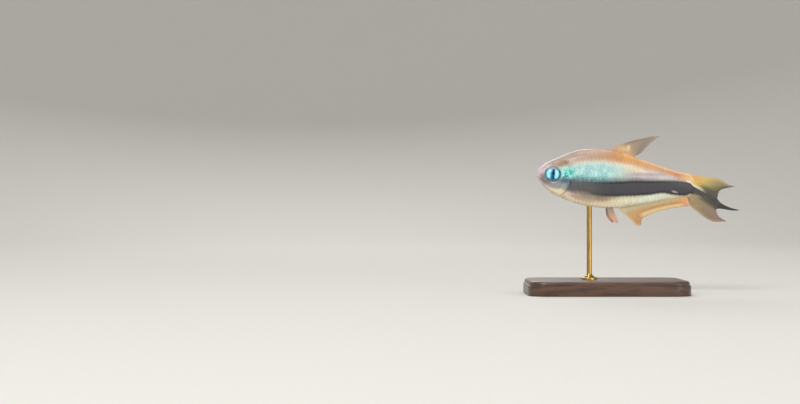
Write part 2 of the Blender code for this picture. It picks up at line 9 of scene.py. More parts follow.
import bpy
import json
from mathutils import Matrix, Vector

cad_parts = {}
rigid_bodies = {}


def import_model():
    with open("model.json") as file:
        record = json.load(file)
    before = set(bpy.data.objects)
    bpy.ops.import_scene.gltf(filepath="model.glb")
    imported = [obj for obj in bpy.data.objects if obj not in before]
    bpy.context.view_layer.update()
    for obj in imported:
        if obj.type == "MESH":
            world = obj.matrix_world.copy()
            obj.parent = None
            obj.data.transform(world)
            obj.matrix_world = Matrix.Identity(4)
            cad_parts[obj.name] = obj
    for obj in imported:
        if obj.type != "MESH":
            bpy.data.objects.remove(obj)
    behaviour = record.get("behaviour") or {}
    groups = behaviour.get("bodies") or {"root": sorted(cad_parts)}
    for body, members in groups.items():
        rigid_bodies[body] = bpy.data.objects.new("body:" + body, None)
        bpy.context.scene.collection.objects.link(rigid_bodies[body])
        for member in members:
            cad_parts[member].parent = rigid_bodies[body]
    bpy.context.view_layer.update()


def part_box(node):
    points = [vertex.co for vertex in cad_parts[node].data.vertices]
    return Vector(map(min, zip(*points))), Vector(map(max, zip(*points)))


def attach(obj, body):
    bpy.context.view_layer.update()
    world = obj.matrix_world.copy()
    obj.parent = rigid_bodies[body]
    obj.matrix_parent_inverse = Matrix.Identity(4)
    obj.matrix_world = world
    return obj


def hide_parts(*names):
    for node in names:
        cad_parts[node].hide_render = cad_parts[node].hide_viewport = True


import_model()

# %% Blender's modules
import json
import math

import bmesh
import bpy
import numpy as np
from mathutils import Matrix

# %% [markdown]
# ## The fish's own frame
# A swimming fish is easiest to measure lying level: x runs back from the tip of the snout, y to its right
# and z up, all in millimetres. On the stand he is pitched nose-up and his tail swings a little to one
# side. One function does both, so every piece can be made level and straight. Where the fish stands is
# read from the solids' eyes, which can't slide out of place unnoticed.

# %% From fish millimetres to the model's metres
MM = 0.001
NOSE_UP = math.radians(5.45)
TAIL_SWING = 1.9
SWING_START = 20.0
SWING_END = 55.0
EYE_X, EYE_Y, EYE_Z = 4.2, 1.78, 0.43

pitch = np.array(Matrix.Rotation(NOSE_UP, 3, "Y"))
eye_boxes = [corner for side in ("left", "right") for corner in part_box(f"eye_{side}")]
eyes_middle = np.mean([list(corner) for corner in eye_boxes], axis=0)
snout_tip = eyes_middle - pitch @ np.array([EYE_X, 0.0, EYE_Z]) * MM


def swung(x):
    """How far the bent tail stands to the side."""
    return TAIL_SWING * (np.maximum(x - SWING_START, 0.0) / (SWING_END - SWING_START)) ** 2


def to_world(points):
    """Level fish millimetres to the model's metres."""
    bent = np.array(points, float)
    bent[..., 1] += swung(bent[..., 0])
    return (bent * MM) @ pitch.T + snout_tip


print("the snout is at", np.round(snout_tip * 1000, 2), "mm")

# %% [markdown]
# ## The camera
# The photo shows the fish from his left side, square on, in the right half of the frame, so the camera
# looks straight along +Y. The fish's plane is drawn at 0.275 mm to the pixel, from his length of 42 mm
# between snout and tail root. The same lens then keeps the photo's framing, with the stand filling in
# below.

# %% Place the camera from the snout's place in the photo
PHOTO_WIDTH, PHOTO_HEIGHT = 800, 404
SNOUT_PX, SNOUT_PY = 536.8, 174.5
MM_PER_PX = 0.275
LENS = 67.0
SENSOR = 36.0
NEAR_LIMIT = 0.01

camera_data = bpy.data.cameras.new("photo_camera")
camera_data.lens = LENS
camera_data.sensor_width = SENSOR
camera_data.clip_start = NEAR_LIMIT
camera = bpy.data.objects.new("photo_camera", camera_data)
half_width_m = PHOTO_WIDTH * MM_PER_PX * MM / 2
camera.location = (
    snout_tip[0] - (SNOUT_PX - PHOTO_WIDTH / 2) * MM_PER_PX * MM,
    -half_width_m / (SENSOR / 2 / LENS),
    snout_tip[2] + (SNOUT_PY - PHOTO_HEIGHT / 2) * MM_PER_PX * MM,
)
camera.rotation_euler = (math.pi / 2, 0.0, 0.0)
bpy.context.scene.collection.objects.link(camera)
bpy.context.scene.camera = camera
away, up = round(-camera.location.y / MM), round(camera.location.z / MM, 1)
print("the camera is", away, "mm away and", up, "mm up")

# %% [markdown]
# ## The outline of the body
# A modeller would draw three lines: the back, the belly and the half width seen from above. Each is a
# short list of points with a curve through them that never overshoots. The curve is drawn against the
# square root of the distance from the snout, which turns the snout round instead of pointed. The solids
# use the same lines, so the skin fits inside them.

# %% The lines of the body
BODY_LENGTH = 42.0
BACK_LINE = (
    (0.0, 0.0), (0.2, 1.3), (0.7, 2.0), (2.0, 3.1), (4.6, 4.75), (8.5, 6.85), (11.2, 7.85),
    (14.0, 8.4), (19.4, 8.8), (22.2, 8.35), (25.6, 7.5), (33.5, 5.62), (39.1, 4.45), (42.0, 4.15),
)
BELLY_LINE = (
    (0.0, 0.0), (0.15, -0.85), (0.75, -1.5), (1.4, -2.15), (2.6, -3.25), (4.1, -4.35), (5.6, -5.15),
    (8.4, -6.13), (11.2, -6.88), (15.4, -7.45), (19.5, -7.5), (23.1, -7.1), (29.1, -5.7), (34.4, -4.2),
    (39.8, -2.75), (42.0, -2.3),
)
HALF_WIDTH = (
    (0.0, 0.0), (0.2, 0.85), (0.7, 1.25), (2.0, 1.75), (4.3, 2.3), (7.0, 2.72), (9.3, 2.9), (13.0, 3.05),
    (18.0, 2.9), (24.0, 2.45), (30.0, 1.88), (36.0, 1.3), (40.0, 0.88), (42.0, 0.62),
)
WIDEST_HEIGHT = (
    (0.0, 0.0), (1.0, 0.15), (4.0, 0.6), (9.0, 0.6), (15.0, 0.2), (24.0, 0.3), (34.0, 1.1), (42.0, 0.95),
)
ROUNDNESS = ((0.0, 2.0), (3.0, 2.1), (9.0, 2.2), (20.0, 2.15), (28.0, 1.95), (42.0, 1.9))


def through(points, x):
    """Values at x of a smooth curve through points that never overshoots them."""
    xs, ys = np.array(points, float).T
    x = np.clip(x, xs[0], xs[-1])
    step = np.diff(ys) / np.diff(xs)
    same_way = step[:-1] * step[1:] > 0
    both = np.where(same_way, step[:-1] + step[1:], 1.0)
    middle = np.where(same_way, 2 * step[:-1] * step[1:] / both, 0.0)
    slope = np.concatenate([[step[0]], middle, [step[-1]]])
    k = np.clip(np.searchsorted(xs, x, side="right") - 1, 0, len(xs) - 2)
    width = xs[k + 1] - xs[k]
    t = (x - xs[k]) / width
    return (
        ys[k] * (1 + 2 * t) * (1 - t) ** 2
        + ys[k + 1] * t * t * (3 - 2 * t)
        + width * (slope[k] * t * (1 - t) ** 2 + slope[k + 1] * t * t * (t - 1))
    )


def outline(points, x):
    """One of the body's lines at x, rounded at the snout."""
    return through([(math.sqrt(px), py) for px, py in points], np.sqrt(np.maximum(x, 0.0)))


def ease(low, high, x):
    """Rises smoothly from 0 at low to 1 at high, or falls if high is the smaller."""
    t = np.clip((x - low) / (high - low), 0.0, 1.0)
    return t * t * (3 - 2 * t)


def span(x, start, full, fading, end):
    """1 from full to fading, and 0 before start and after end."""
    return ease(start, full, x) * ease(end, fading, x)


def unit(vectors):
    """Vectors of length 1 in the same directions."""
    return vectors / np.maximum(np.linalg.norm(vectors, axis=-1, keepdims=True), 1e-9)


def bump(distance, width):
    """A soft ridge, 1 on its line and nearly 0 two widths away."""
    return np.exp(-((distance / width) ** 2))


deepest = max(float(outline(BACK_LINE, x) - outline(BELLY_LINE, x)) for x in np.linspace(5, 30, 51))
print("the body is", round(deepest, 1), "mm deep and", BODY_LENGTH, "mm long to the tail root")

# %% [markdown]
# ## The bare skin
# Under the scales a fish is one smooth skin, and on the head it is all there is. A loft of rings is the
# natural way to make it: each ring is a slightly squared ellipse. The rings crowd towards the snout,
# where the detail is. Past the tail root a thin tongue of flesh runs out over the roots of the tail's
# rays. The skin is set in by the depth of the scales, which then reach the solids' own surface.

# %% Rings from snout to tail
SCALE_DEPTH = 0.06
HEAD_END = 10.8
HEAD_RINGS = 252
BODY_RINGS = 110
TONGUE_RINGS = 14
RING_SIDES = 300
TONGUE = 2.2


def ring_stations():
    """Station of each ring: crowded on the head and wider under the scales."""
    head = HEAD_END * (np.arange(1, HEAD_RINGS + 1) / HEAD_RINGS) ** 1.35
    body = HEAD_END + (BODY_LENGTH - HEAD_END) * np.arange(1, BODY_RINGS + 1) / BODY_RINGS
    tongue = BODY_LENGTH + TONGUE * np.linspace(0.06, 1.0, TONGUE_RINGS)
    return np.concatenate([head, body, tongue])


def rings(stations):
    """Points of every ring, set in by the depth of the scales: an array by station, side and axis."""
    x = stations[:, None]
    turn = 2 * np.pi * np.arange(RING_SIDES)[None, :] / RING_SIDES
    turn = turn + 0.16 * np.sin(2 * turn)
    up, out = np.cos(turn), np.sin(turn)
    on_body = np.minimum(x, BODY_LENGTH)
    past = np.clip((x - BODY_LENGTH) / TONGUE, 0.0, 1.0)
    middle = outline(WIDEST_HEIGHT, on_body)
    power = outline(ROUNDNESS, on_body)
    inset = np.minimum(SCALE_DEPTH, 0.3 * x)
    top = outline(BACK_LINE, on_body) - inset - 0.9 * past**2
    bottom = outline(BELLY_LINE, on_body) + inset + 0.7 * past**2
    wide = (outline(HALF_WIDTH, on_body) - inset) * (1 - past) ** 0.8 + 0.03
    reach = np.where(up > 0, top - middle, middle - bottom)
    z = middle + np.sign(up) * np.abs(up) ** (2 / power) * reach
    y = np.sign(out) * np.abs(out) ** (2 / power) * wide
    rounding = 1 - 0.5 * np.abs(up) ** 2.5
    along = np.where(past > 0, BODY_LENGTH + TONGUE * past * rounding, x + 0 * turn)
    return np.stack([along, y, z], axis=2)


def outward(points):
    """Unit normals of a grid of rings."""
    along = np.gradient(points, axis=0)
    around = np.roll(points, -1, axis=1) - np.roll(points, 1, axis=1)
    normal = np.cross(along, around)
    return normal / np.maximum(np.linalg.norm(normal, axis=2, keepdims=True), 1e-9)


stations = ring_stations()
smooth_rings = rings(stations)
smooth_normals = outward(smooth_rings)
flank = smooth_normals[HEAD_RINGS, RING_SIDES // 4]
print(len(stations), "rings of", RING_SIDES, "sides, flank normal", np.round(flank, 2))

# %% [markdown]
# ## The forms of the head
# Under the skin of a fish's head lie thin bony plates. The gill cover ends in a free edge with the gill
# opening behind it, a curved groove divides it from the cheek, a ring of small bones runs under the eye,
# and the short mouth slopes down between rounded lips. These could be sculpted by hand, but each follows
# a simple curve, so the skin is pushed in or out by its distance from that curve, in millimetres.

# %% Curves that the head's forms follow
GILL_ARC = (3.4, -0.4, 5.8)
CHEEK_ARC = (1.9, 0.0, 5.2)
HEAD_SWELL = 0.15
EYE_RADIUS = 2.03
ORBIT_RING = 3.05
BONE_SEAMS = (-28.0, -72.0, -112.0)
MOUTH_LINE = ((0.0, -0.42), (1.0, -0.98), (2.35, -1.85))
NOSTRILS = ((1.55, 1.75), (2.1, 2.05))


def from_arc(arc, x, z):
    """Distance outside an arc, and the direction from its centre in degrees above straight back."""
    cx, cz, radius = arc
    return np.hypot(x - cx, z - cz) - radius, np.degrees(np.arctan2(z - cz, x - cx))


def from_segment(start, end, x, z):
    """Distance from a straight line between two points on the side of the head."""
    sx, sz = end[0] - start[0], end[1] - start[1]
    along = np.clip(((x - start[0]) * sx + (z - start[1]) * sz) / (sx * sx + sz * sz), 0.0, 1.0)
    return np.hypot(x - start[0] - along * sx, z - start[1] - along * sz)


def gill_opening(x, z, y):
    """1 where the gill cover's free edge shows, fading out on the nape and under the throat."""
    _, angle = from_arc(GILL_ARC, x, z)
    return ease(54.0, 44.0, angle) * ease(-104.0, -86.0, angle) * ease(0.25, 0.8, np.abs(y))


def head_relief(x, y, z):
    """How far the skin of the head stands out of the smooth body, in millimetres."""
    gill, _ = from_arc(GILL_ARC, x, z)
    free = gill_opening(x, z, y)
    swell = HEAD_SWELL * np.minimum(x / 2.0, 1.0)
    height = swell * ((1 - free) * ease(1.6, -2.4, gill) + free * ease(0.04, -0.12, gill))
    height -= 0.17 * bump(gill - 0.13, 0.15) * free
    height += 0.035 * bump(gill + 0.32, 0.18) * free

    cheek, cheek_angle = from_arc(CHEEK_ARC, x, z)
    seen = ease(44.0, 30.0, cheek_angle) * ease(-96.0, -80.0, cheek_angle) * ease(0.3, 0.9, np.abs(y))
    height -= 0.085 * bump(cheek, 0.09) * seen
    height += 0.05 * ease(-0.9, -0.12, cheek) * ease(0.02, -0.1, cheek) * seen
    height -= 0.05 * bump(from_segment((6.6, -4.3), (8.75, -2.35), x, z), 0.08)
    height -= 0.04 * bump(from_segment((2.5, -2.1), (5.6, -4.5), x, z), 0.09)

    eye = np.hypot(x - EYE_X, z - EYE_Z)
    eye_angle = np.degrees(np.arctan2(z - EYE_Z, x - EYE_X))
    below = ease(40.0, 20.0, eye_angle) * ease(-165.0, -140.0, eye_angle)
    height -= 0.75 * ease(2.16, 1.76, eye)
    height -= 0.1 * bump(eye - 2.12, 0.12)
    height += 0.035 * bump(eye - 2.4, 0.16)
    height -= 0.05 * bump(eye - ORBIT_RING, 0.07) * below
    on_ring = span(eye, 2.3, 2.5, 2.9, ORBIT_RING)
    for seam in BONE_SEAMS:
        height -= 0.03 * bump(np.radians(eye_angle - seam) * eye, 0.06) * on_ring

    lip = z - through(MOUTH_LINE, x)
    mouth = ease(2.5, 2.15, x)
    height -= 0.24 * bump(lip, 0.06) * mouth
    height += 0.1 * bump(np.abs(lip) - 0.24, 0.13) * mouth * ease(2.4, 1.2, x)
    height -= 0.045 * bump(np.abs(lip) - 0.5, 0.07) * mouth
    jaw = from_segment((1.35, -0.62), (2.6, -1.7), x, z)
    height += 0.05 * ease(0.3, 0.18, jaw)
    height -= 0.05 * bump(jaw - 0.36, 0.06) * ease(1.2, 1.6, x)
    for nx, nz in NOSTRILS:
        pit = np.hypot(x - nx, z - nz)
        height -= 0.2 * ease(0.16, 0.06, pit)
        height += 0.05 * bump(pit - 0.22, 0.06)
    return height


formed_rings = smooth_rings + smooth_normals * head_relief(*np.moveaxis(smooth_rings, 2, 0))[..., None]
depth_of_forms = np.linalg.norm(formed_rings - smooth_rings, axis=2)
print("the head's forms move the skin by up to", round(float(depth_of_forms.max()), 2), "mm")

# %% [markdown]
# ## The markings
# An emperor tetra's pattern runs in long bands: a brown back, a turquoise sheen that fades to lilac, a
# black band from the gill opening right into the tail fin, and a cream belly. The edges of the bands are
# curves along the body, like the outlines. Skin and scales ask the same function how much of each band
# there is at a place, so that the markings run on from one to the other without a step. The same function
# also gives a few painted highlights and a painted shade under the band.

# %% Edges of the bands, as heights along the body
BAND_TOP = (
    (6.0, -1.5), (8.4, -0.95), (11.5, -0.7), (16.1, -0.5), (20.2, -0.1), (22.5, 0.15), (24.4, 0.4),
    (26.0, 0.7), (28.0, 0.85), (30.0, 1.02), (32.0, 1.25), (35.5, 1.6), (37.5, 1.76), (40.0, 1.82),
    (41.8, 1.7), (43.5, 0.7), (45.2, -0.25),
)
BAND_BOTTOM = (
    (6.0, -3.2), (9.0, -3.5), (12.0, -3.75), (15.1, -4.15), (18.0, -4.3), (21.0, -4.15), (24.0, -3.75),
    (26.0, -3.5), (28.6, -3.12), (31.3, -2.7), (33.1, -2.2), (35.3, -1.82), (38.0, -2.05), (41.0, -1.98),
    (42.9, -1.3), (45.2, -1.45),
)
SHEEN_TOP = (
    (6.0, 2.3), (8.8, 3.05), (11.0, 3.75), (14.0, 4.45), (18.0, 4.8), (22.0, 4.7), (28.0, 4.2), (36.0, 2.95),
    (39.0, 2.2), (42.0, 1.95),
)
# Spots of one colour: their strength, place, radii and softness.
SPOTS = {
    "rose": (0.55, (4.7, 3.15), (1.0, 0.4), 0.7),
    "umber": (0.6, (7.0, 4.15), (1.1, 0.45), 0.8),
    "amber": (0.5, (24.4, 6.9), (1.6, 0.7), 0.9),
    "grass": (0.3, (8.0, 1.5), (1.1, 1.1), 0.5),
    "moss": (0.4, (9.25, 1.1), (0.6, 0.5), 0.5),
    "lime": (0.5, (7.5, 2.5), (1.5, 0.42), 0.5),
    "glint": (0.8, (9.1, 0.3), (0.8, 0.28), 0.4),
    "slate": (0.95, (7.6, -1.0), (1.9, 0.75), 0.8),
}
# Size, pace along and up the body, and start of each wave in the bands' edges.
RIPPLES = ((0.5, 5.3, 2.1, 0.0), (0.3, 11.9, -3.7, 1.0), (0.2, 23.0, 7.0, 0.0))


def ripple(x, z):
    """A small, irregular wave that keeps the bands' edges from looking ruled."""
    return sum(size * np.sin(along * x + up * z + start) for size, along, up, start in RIPPLES)


def oval(x, z, place, radii, soft=0.4):
    """1 inside a soft-edged oval on the side of the fish."""
    return ease(1 + soft, 1 - soft, np.hypot((x - place[0]) / radii[0], (z - place[1]) / radii[1]))


def markings(x, z):
    """How much of each marking, painted highlight and painted shade lies at a place on the side, from 0 to
    1.
    """
    wave = ripple(x, z)
    front = ease(20.0, 8.0, x)
    over = z - outline(BAND_TOP, x) - wave * (0.09 + 0.22 * front)
    under = z - outline(BAND_BOTTOM, x) - 0.1 * wave
    above = z - outline(SHEEN_TOP, x) - 0.12 * wave
    over_belly = z - outline(BELLY_LINE, x)
    under_back = outline(BACK_LINE, x) - z
    inside = np.minimum(np.minimum(over_belly, under_back), x)
    low_front = ease(23.5, 18.0, x)
    eye = np.hypot(x - EYE_X, z - EYE_Z)
    back = ease(-0.7, 1.3, above)

    # The black band: fainter in front, shading off upwards, with a pale slit near the tail and darker edges.
    band = ease(0.35, -0.25, over) * ease(-0.45 - 0.5 * front, 0.4, under) * ease(7.5, 9.4, x + 0.25 * wave)
    band = band * (0.86 + 0.14 * ease(10.0, 20.0, x))
    shade = ease(1.9, 0.1, over) * ease(-0.2, 0.2, over) * span(x, 8.5, 10.0, 26.0, 34.0)
    slit = np.hypot(x - 38.2, (z + 1.2 + 0.12 * (x - 38.2)) / 0.24)
    band = (band + (0.52 + 0.1 * front) * (1 - band) * shade) * (1 - 0.6 * ease(1.15, 0.6, slit))
    edges = np.maximum(bump(over + 0.28, 0.28), bump(under - 0.4, 0.24))

    # The shining parts: the sheen on the flank, the bright gill cover, and the sparks along the band.
    olive = oval(x, z - 0.3 * (x - 6.4), (6.4, 3.5), (1.7, 0.72), 0.6)
    sheen = ease(0.1, -1.0, above) * ease(-0.35, 0.1, over) * span(x, 6.2, 6.8, 16.0, 27.0)
    sheen = sheen * (1 - 0.85 * olive)
    jewel = oval(x, z, (7.9, 1.25), (2.1, 1.5), 0.5) * ease(5.9, 6.5, x) * (1 - olive)
    sparks = bump(over - 0.9, 1.0) * span(x, 9.0, 10.5, 18.0, 23.0)
    spots = {name: share * oval(x, z, *shape) for name, (share, *shape) in SPOTS.items()}
    return spots | {
        "along": x / (BODY_LENGTH + TONGUE),
        "lower": ease(-2.4, -0.6, over),
        "back": back,
        "rear": span(x, 20.0, 29.0, 40.8, 42.6) * ease(0.9, -0.8, above) * ease(-0.3, 0.2, over),
        "stripe": over / 3.2,
        "cream": 0.5 * bump(above - 0.1, 0.75) * span(x, 8.5, 10.5, 24.0, 30.0),
        # A painted highlight along the top edge of the back behind the back fin, and at the rear of that
        # fin's root.
        "ridge": 0.7 * ease(0.75, 0.2, under_back) * np.maximum(ease(25.0, 29.0, x), bump(x - 24.4, 1.3)),
        # A painted glint along the top of the band where it runs into the tail.
        "glow": 0.85 * bump(over - 0.35, 0.3) * ease(40.6, 41.8, x),
        "hem": 0.6 * ease(1.0, 0.1, over_belly) * ease(22.0, 26.0, x),
        # Painted highlights along the belly's lower edge and under the chin.
        "painted_underside_highlight": np.maximum(
            0.95 * ease(1.5, 0.8, over_belly) * span(x, 7.5, 9.5, 22.5, 26.0),
            0.6 * bump(over_belly - 0.2 * x, 0.4) * span(x, 1.8, 3.0, 5.5, 7.5),
        ),
        # Painted shade under the black band.
        "painted_shade_under_band": (0.35 + 0.55 * low_front) * span(x, 10.5, 14.0, 27.0, 31.0)
        * ease(-1.1 - 0.8 * low_front, -0.2 - 0.6 * low_front, under) * ease(0.6, 0.1, under),
        "cheek": 0.85 * np.maximum(
            oval(x, z, (5.6, -2.2), (2.9, 1.15)), oval(x, z, (8.5, -2.8), (1.6, 1.1)),
        ),
        "muzzle": ease(0.1, 0.6, inside) * 0.75 * np.maximum(
            oval(x, z, (1.6, -0.7), (1.0, 1.1), 0.7), oval(x, z, (2.6, -1.4), (1.3, 0.9), 0.7),
        ),
        "orbit": 0.85 * bump(eye - 2.08, 0.14 + 0.12 * ease(3.0, 2.0, x)) * span(z, -1.2, -0.4, 1.2, 2.2),
        "olive": 0.7 * olive,
        "shine": 0.9 * np.maximum(sheen, jewel),
        "jewel": np.maximum(jewel, 0.75 * sparks),
        "lobe": 0.85 * np.maximum(
            oval(x, z, (6.68, 0.85), (0.45, 1.1), 0.5), 0.75 * oval(x, z, (8.25, 0.95), (0.38, 0.75), 0.6),
        ),
        "gap": 0.8 * np.maximum(
            bump(x - 7.45 - 0.25 * z, 0.2) * span(z, -0.4, 0.0, 0.9, 1.4),
            bump(x - 8.85 + 0.3 * (z - 1.1), 0.22) * span(z, 0.6, 1.0, 1.7, 2.5),
        ),
        "mist": 0.5 * ease(1.7, 0.3, over) * ease(-0.3, 0.2, over) * span(x, 9.0, 10.5, 20.0, 26.0),
        "dusk": 0.6 * ease(-0.9, -0.3, under) * ease(0.2, -0.4, over) * span(x, 8.4, 9.4, 11.0, 17.0),
        "freckle": 0.5 * back,
        "navy": np.maximum(
            bump(z + 0.1 + 0.2 * (x - 7.6), 0.3) * span(x, 6.4, 7.2, 9.4, 11.6),
            oval(x, z, (8.05, 0.3), (0.4, 0.5), 0.6),
        ),
        "band": band,
        "border": 0.95 * band * edges * ease(12.0, 22.0, x),
    }


found = markings(np.array(20.0), np.array(2.0))
found = {name: round(float(share), 2) for name, share in found.items() if share > 0}
print("on the flank at mid-body:", found)

# %% [markdown]
# ## Making a mesh from arrays
# Large meshes are quickest to build from arrays of points and faces. Each point also carries its place on
# the fish and its share of each marking as named attributes, which the materials read. Every piece gets a
# map called OFBake. The skin's is the skin itself, cut open along the back and belly and laid flat: the
# station runs along the map and the way down from back to belly runs up it, with the left side before the
# right.

# %% Helpers for pieces
def opened_map(x, down, right):
    """Places on the OFBake map from the station and the share of the way down from back to belly."""
    u = np.clip(x / (BODY_LENGTH + TONGUE), 0.0, 1.0) * 0.47 + np.where(right, 0.51, 0.01)
    v = 0.98 - 0.96 * np.clip(down, 0.0, 1.0)
    return np.stack([u, v], axis=-1)


SIDE_NAMES = {1: "right", -1: "left"}
RIM_ANGLE = 50.0


def make_piece(name, points, faces, attributes=None, uv=None, crisp=False):
    """A smooth mesh object from level fish millimetres. uv is by corner, and crisp keeps its rims sharp."""
    mesh = bpy.data.meshes.new(name)
    sizes = np.array([len(face) for face in faces], np.int32)
    corners = np.concatenate([np.asarray(face, np.int32) for face in faces])
    mesh.vertices.add(len(points))
    mesh.vertices.foreach_set("co", to_world(points).astype(np.float32).ravel())
    mesh.loops.add(len(corners))
    mesh.loops.foreach_set("vertex_index", corners)
    mesh.polygons.add(len(sizes))
    mesh.polygons.foreach_set("loop_start", np.concatenate([[0], np.cumsum(sizes)[:-1]]).astype(np.int32))
    mesh.polygons.foreach_set("use_smooth", np.ones(len(sizes), bool))
    mesh.update(calc_edges=True)
    mesh.validate()
    shape = bmesh.new()
    shape.from_mesh(mesh)
    inside_out = shape.calc_volume(signed=True) < 0
    shape.free()
    for key, values in (attributes or {}).items():
        kind = "FLOAT" if values.ndim == 1 else "FLOAT_VECTOR"
        field = "value" if values.ndim == 1 else "vector"
        layer = mesh.attributes.new(key, kind, "POINT")
        layer.data.foreach_set(field, values.astype(np.float32).ravel())
    if uv is not None:
        layer = mesh.uv_layers.new(name="OFBake")
        layer.data.foreach_set("uv", uv.astype(np.float32).ravel())
    if inside_out:
        mesh.flip_normals()
    if crisp:
        mesh.set_sharp_from_angle(angle=math.radians(RIM_ANGLE))
    piece = bpy.data.objects.new(name, mesh)
    bpy.context.scene.collection.objects.link(piece)
    return piece


def triangles(piece):
    """How many triangles a piece comes to."""
    return sum(len(face.vertices) - 2 for face in piece.data.polygons)


def grid_faces(index):
    """The four-sided faces of a grid of point numbers."""
    corners = [index[:-1, :-1], index[1:, :-1], index[1:, 1:], index[:-1, 1:]]
    return np.stack(corners, axis=2).reshape(-1, 4)


def marked(points):
    """The attributes of points on the body: their place and their markings."""
    found = markings(points[:, 0], points[:, 2])
    found["fish_mm"] = points.astype(float)
    return found


# %% The skin
def ring_faces(starts, side, after):
    """Faces from each ring to the next one, between two sides."""
    corners = [starts + side, starts + RING_SIDES + side, starts + RING_SIDES + after, starts + after]
    return np.stack(corners, axis=-1).reshape(-1, 4)


def skin_faces(count):
    """Faces of the skin by vertex number. Behind the head only every second side is used."""
    side = np.arange(RING_SIDES)
    after = (side + 1) % RING_SIDES
    second = side[::2]
    beyond = (second + 2) % RING_SIDES
    rows = 1 + np.arange(count)[:, None] * RING_SIDES
    head, tail = rows[: HEAD_RINGS - 1], rows[HEAD_RINGS:-1]
    nose = np.stack([0 * side, 1 + side, 1 + after], axis=1)
    joint = rows[HEAD_RINGS - 1, 0]
    join = np.column_stack([ring_faces(joint, second, beyond), joint + second + 1])
    groups = [nose, ring_faces(head, side, after), join, ring_faces(tail, second, beyond)]
    faces = [face for group in groups for face in group] + [rows[-1, 0] + second[::-1]]
    first = [side, np.tile(side, len(head)), second, np.tile(second, len(tail)), np.array([0])]
    return faces, np.concatenate(first)


def skin_piece():
    """The whole skin as one closed mesh."""
    half = RING_SIDES // 2
    points = np.concatenate([[[SCALE_DEPTH, 0.0, 0.0]], formed_rings.reshape(-1, 3)])
    faces, first = skin_faces(len(formed_rings))
    flat = np.concatenate(faces)
    sizes = [len(face) for face in faces]
    right = np.repeat(first < half, sizes)
    side = np.where(flat == 0, np.repeat(first, sizes), (flat - 1) % RING_SIDES)
    side = np.where(~right & (side == 0), RING_SIDES, side)
    used, corners = np.unique(flat, return_inverse=True)
    uv = opened_map(points[flat, 0], np.where(right, side, RING_SIDES - side) / half, right)
    points = points[used]
    faces = np.split(corners, np.cumsum(sizes)[:-1])
    return make_piece("skin", points, faces, marked(points), uv)


skin = skin_piece()
print("the skin has", triangles(skin), "triangles")

# %% [markdown]
# ## The scales
# Each scale is a thin, rounded plate rooted in the skin. Its rear edge lies over the scale behind it,
# like a roof tile, in rows that run along the body. A sheet of bumps would look flat from the side, so
# every scale is a closed plate of its own: its front edge is sunk in the skin and its rear edge stands a
# twentieth of a millimetre proud. A grown fish has about 33 scales along the flank, so they are about a
# millimetre apart.

# %% Unroll the flank, so that scales can be laid on it by arc length
ARC_REACH = 12.0
ARC_STEP = 0.1
OVER_MIDLINE = 54


def unrolled():
    """The right flank by station and by arc length above its widest line, running on over both midlines."""
    half = RING_SIDES // 2
    mirror = np.array([1.0, -1.0, 1.0])
    levels = np.arange(-ARC_REACH, ARC_REACH + ARC_STEP / 2, ARC_STEP)
    table = np.zeros((len(stations), len(levels), 3))
    reach = np.zeros((len(stations), 2))
    for i, ring in enumerate(formed_rings):
        up_side = ring[: half + 1][::-1]
        line = np.concatenate([
            (up_side[1:OVER_MIDLINE] * mirror)[::-1], up_side, (up_side[-OVER_MIDLINE:-1] * mirror)[::-1],
        ])
        arc = np.concatenate([[0.0], np.cumsum(np.linalg.norm(np.diff(line, axis=0), axis=1))])
        own = slice(OVER_MIDLINE - 1, OVER_MIDLINE + half)
        widest = outline(WIDEST_HEIGHT, np.minimum(stations[i], BODY_LENGTH))
        arc = arc - np.interp(widest, up_side[:, 2], arc[own])
        reach[i] = arc[own][0], arc[own][-1]
        for axis in range(3):
            table[i, :, axis] = np.interp(levels, arc, line[:, axis])
    return table, reach


flank_table, flank_reach = unrolled()
flank_normals = unit(np.cross(np.gradient(flank_table, axis=0), np.gradient(flank_table, axis=1)))
if flank_normals[HEAD_RINGS, flank_normals.shape[1] // 2, 1] < 0:
    flank_normals = -flank_normals


def station_number(x):
    """The fractional index of the ring at x."""
    return np.interp(x, stations, np.arange(len(stations)))


def on_flank(x, arc):
    """Points and normals of the right flank at stations x and arc heights."""
    i = np.clip(station_number(x), 0, len(stations) - 1.001)
    j = np.clip((arc + ARC_REACH) / ARC_STEP, 0, flank_table.shape[1] - 1.001)
    i0, j0 = i.astype(int), j.astype(int)
    fi, fj = (i - i0)[..., None], (j - j0)[..., None]

    def mixed(table):
        low = table[i0, j0] * (1 - fj) + table[i0, j0 + 1] * fj
        high = table[i0 + 1, j0] * (1 - fj) + table[i0 + 1, j0 + 1] * fj
        return low * (1 - fi) + high * fi

    return mixed(flank_table), mixed(flank_normals)


def midlines(x):
    """Arc heights of the belly's and the back's midline at x."""
    return [float(np.interp(x, stations, flank_reach[:, edge])) for edge in (0, 1)]


print("half the girth behind the head is", round(float(np.ptp(flank_reach[HEAD_RINGS])), 1), "mm")

# %% One scale, and where the scales go
SCALE_SPACING = 1.0
ROW_PITCH = 1.4
SCALE_GRID = 7
SCALE_ROWS = range(-10, 11)
ROW_START, ROW_END = 7.4, BODY_LENGTH + 1.3
MIDLINE_START, MIDLINE_END = 8.0, BODY_LENGTH + 0.3
ANAL_REACH, DORSAL_REACH = (22.6, 42.2), (19.6, 26.4)
rng = np.random.default_rng(42)


def scale_size(x):
    """How large the scales are at x, beside those at mid-body: smaller towards the tail."""
    return np.interp(x, [8.0, 12.0, 26.0, 42.0], [0.82, 1.0, 1.0, 0.74])


